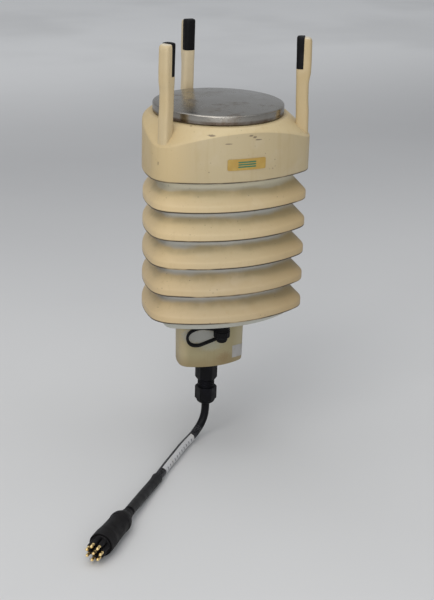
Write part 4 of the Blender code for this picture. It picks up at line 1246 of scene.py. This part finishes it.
# The tether's centre line, as (distance out from the port, height), the same points as the CAD's
STRAP_ROUTE = (
    (0.0047, 0.0328), (0.0090, 0.0332), (0.0135, 0.0334), (0.0175, 0.0326), (0.0208, 0.0310),
    (0.0230, 0.0291), (0.0243, 0.0266), (0.0243, 0.0240), (0.0233, 0.0218), (0.0214, 0.0203),
    (0.0187, 0.0198), (0.0155, 0.0202), (0.0122, 0.0216), (0.0090, 0.0231), (0.0046, 0.0252),
)
STRAP_OUT = Vector((math.cos(STRAP_HEADING), math.sin(STRAP_HEADING), 0))
STRAP_ACROSS = Vector((-STRAP_OUT.y, STRAP_OUT.x, 0))


def strap_point(reach, z):
    return PORT + STRAP_OUT * reach + Vector((0, 0, z))


def strap_section(point, ahead):
    """One ring of points round the tether's flat band, square to the way it runs."""
    normal = ahead.cross(STRAP_ACROSS).normalized()
    flat = soft_box(STRAP_HALF_WIDTH, STRAP_HALF_THICKNESS, 0.5, 0.6, 20)
    return [point + STRAP_ACROSS * wide + normal * thick for wide, thick in flat]


STRAP_END = (strap_point(*STRAP_ROUTE[-1]) - strap_point(*STRAP_ROUTE[-2])).normalized()


def add_port(black, rubber):
    """The service port, its screw cap with grip ribs and a stem, and the strap's swivel ring on the stem."""
    bottom, top = span_z("service_port")
    flange_top = low("base_housing").z - 0.0003
    flange_bottom = 0.0337
    profile = rounded(
        [
            (0.0022, top, 0.0002), (0.0037, top, 0.0002), (0.0037, flange_top),
            (0.0057, flange_top, 0.0002), (0.0057, flange_bottom, 0.0003), (0.0037, flange_bottom),
            (0.0037, bottom, 0.0003), (0.0022, bottom, 0.0002),
        ],
        closed=True,
        steps=3,
    )
    tube = turned(profile, 48, at(PORT), ring_shaped=True)
    piece("port_tube", tube, black, replaces=["service_port"])

    cap_bottom, cap_top = span_z("service_cap")
    pocket_top = cap_bottom + 0.0053
    skirt_bottom = cap_bottom + 0.0042
    skirt_radius = 0.0059

    rib_count, rib_depth = 20, 0.00028

    def ribbed(angle, height, radius):
        """Grip ribs on the skirt, running out near its two ends."""
        if radius < skirt_radius:
            return radius
        ends = min(cap_top - 0.0005 - height, height - skirt_bottom - 0.0004)
        grip = min(1.0, max(0.0, ends / 0.0003))
        return radius - rib_depth * grip * (0.5 - 0.5 * math.cos(rib_count * angle))

    skirt = [(skirt_radius, cap_top - 0.0004 - 0.0002 * i) for i in range(19)]
    profile = [
        (0.0002, pocket_top), (0.0041, pocket_top), (0.0041, cap_top), (0.0055, cap_top),
        (0.0058, cap_top - 0.0002),
        *skirt,
        (0.0058, skirt_bottom + 0.0002), (0.0055, skirt_bottom), (0.0030, skirt_bottom),
        (0.0028, skirt_bottom - 0.0002), (0.0028, cap_bottom + 0.0013),
        (0.0032, cap_bottom + 0.0012), (0.0036, cap_bottom + 0.0010), (0.0036, cap_bottom + 0.0007),
        (0.0031, cap_bottom + 0.0002), (0.0024, cap_bottom), (0.0002, cap_bottom),
    ]
    cap = turned(profile, 160, at(PORT), shape=ribbed)
    piece("port_cap", cap, black, "cap", ["service_cap"])

    swivel = band(0.0031, 0.0042, *span_z("strap_swivel"), 0.0002, 0.0006)
    lug_points = (strap_point(0.00453, 0.02523), strap_point(0.0034, 0.0257))
    lug = loft([strap_section(point, STRAP_END) for point in lug_points])
    ring = with_booleans(turned(swivel, 48, at(PORT), ring_shaped=True), [("UNION", lug)])
    piece("swivel_ring", ring, rubber, "cap_carrier", ["strap_swivel"])


def add_strap(rubber):
    """The cap's tether: a flat rubber band bent into an open loop, and its eye round the port."""
    points, _ = smooth_route([strap_point(reach, z) for reach, z in STRAP_ROUTE], 90)
    rings = [strap_section(point, way_on(points, i)) for i, point in enumerate(points)]
    eye = turned(band(0.0040, 0.0058, 0.0323, 0.0334, 0.0002, 0.0004), 48, at(PORT), ring_shaped=True)
    mesh = with_booleans(eye, [("UNION", loft(rings))])
    tether = piece("cap_tether", mesh, rubber, body=None, replaces=["cap_strap"])
    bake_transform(tether)


# ---------------------------------------------------------------- cable gland


def hexagonal(across, corner):
    """A shape for turned(): round inside the flats, beyond them a hexagon whose corners stop at a radius."""

    def shape(angle, height, radius):
        flat = across / 2
        if radius <= flat:
            return radius
        return min(flat / math.cos(off_flat(angle - GLAND_TURN)), radius, corner)

    return shape


def add_gland(black, rubber):
    """The gland's hexagon body with its bare thread, the dome nut on that thread, and the washer above."""
    body_bottom, body_top = span_z("gland_body")
    hex_top = low("gland_seal_ring").z - 0.0003
    hex_bottom = -0.0132
    shoulder = -0.0140
    across = 0.01420
    corner = 0.00815
    pitch = 0.0015
    root = 0.0056
    crest = 0.0062
    thread_steps = 60
    thread_mark = 0.00561  # the radius by which body_shape knows the thread's own rings
    nut_bore = 0.0064
    thread = []
    for i in range(1, thread_steps):
        thread.append((thread_mark, shoulder - (shoulder - body_bottom - 0.0003) * i / thread_steps))
    body_hexagon = hexagonal(across, corner)

    def body_shape(angle, height, radius):
        if radius != thread_mark:
            return body_hexagon(angle, height, radius)
        turn = (height / pitch + angle / (2 * math.pi)) % 1.0
        ramp = min(1.0, (shoulder - height) / 0.0007, (height - body_bottom) / 0.0007)
        ridge = min(1.0, 1.6 * (1 - abs(2 * turn - 1)))
        return root + (crest - root) * ridge * ramp

    profile = [
        (0.0034, body_top), (0.0060, body_top), (0.0060, hex_top), (0.0078, hex_top),
        (corner, hex_top - 0.0003), (corner, hex_bottom + 0.0004), (0.0079, hex_bottom),
        (0.0072, shoulder + 0.0002), (0.0070, shoulder), (root, shoulder),
        *thread,
        (root, body_bottom),
        (0.0034, body_bottom),
    ]
    mesh = turned(profile, 120, at(GLAND), ring_shaped=True, shape=body_shape)
    piece("gland_base", mesh, black, replaces=["gland_body"], sharp=28)

    nut_bottom, nut_top = span_z("gland_nut")
    nut_across, nut_corner = 0.01405, 0.00810
    profile = [
        (nut_bore, nut_top), (0.0077, nut_top), (nut_corner, nut_top - 0.0003),
        (nut_corner, -0.0297), (0.0079, -0.0301), (0.0072, -0.0303), (0.0070, -0.0307),
        (0.0068, -0.0313), (0.0065, -0.0319), (0.0060, -0.0325), (0.0054, -0.0330),
        (0.0048, -0.0334), (0.0042, nut_bottom), (0.0037, nut_bottom + 0.0002),
        (0.0037, nut_bottom + 0.0014), (0.0056, -0.0299), (nut_bore, -0.0285),
    ]
    shape = hexagonal(nut_across, nut_corner)
    mesh = turned(profile, 120, at(GLAND), ring_shaped=True, shape=shape)
    piece("gland_dome_nut", mesh, black, "gland_top", ["gland_nut"], sharp=28)

    washer = turned(band(0.0064, 0.0079, *span_z("gland_seal_ring")), 64, at(GLAND), ring_shaped=True)
    piece("gland_washer", washer, rubber, replaces=["gland_seal_ring"])


def paint_kept(rubber, black, steel, grey):
    """Gives the CAD pieces that stay in view when the object is opened up their materials."""
    kept = (
        (rubber, ("cable_tail", "gland_clamp_insert", "piezo_foam_pad")),
        (black, ("gland_locknut",)),
        (steel, ("rain_piezo", "board_shield", "board_standoff_1", "board_standoff_2", "board_standoff_3")),
        (grey, ("rain_sensor_carrier", "base_cover", "top_plate")),
        (grey, ("ptu_module", "ribbon_cable", "terminal_block")),
        (filter_white(), ("ptu_filter_cap",)),
        (board_green(), ("main_board", "terminal_board")),
    )
    for material, nodes in kept:
        for node in nodes:
            mesh = NODES[node].data
            for index in range(len(mesh.materials)):
                mesh.materials[index] = material


def main():
    add_camera()
    add_studio()

    rubber = black_rubber()
    black = black_moulding()
    steel = plain_steel()
    grey = grey_moulding()
    pad_black = black_rubber("pad_black", (0.0042, 0.0040, 0.0048), 0.08, 0.16)
    boot = black_rubber("boot_rubber", (0.0065, 0.0058, 0.0066), 0.20, 0.20)
    shrink = black_rubber("shrink_film", (0.0105, 0.0100, 0.0110), 0.24, 0.36)

    add_lead(cable_jacket(), clear_film(), label_stock(), shrink, boot, contact_gold())
    add_louvers(cream_for_louvers())
    add_top_housing(cream_for_housing())
    add_rain_disc(weathered_steel(), rubber)
    add_arms(cream_for_arms(), pad_black)
    add_name_plate(plate_foil(), plate_ink())
    add_base(grey)
    add_screws(steel)
    add_collar(old_collar_plastic(), sticker_film(), rubber)
    add_port(black, rubber)
    add_strap(rubber)
    add_gland(black, rubber)
    paint_kept(rubber, black, steel, grey)


main()
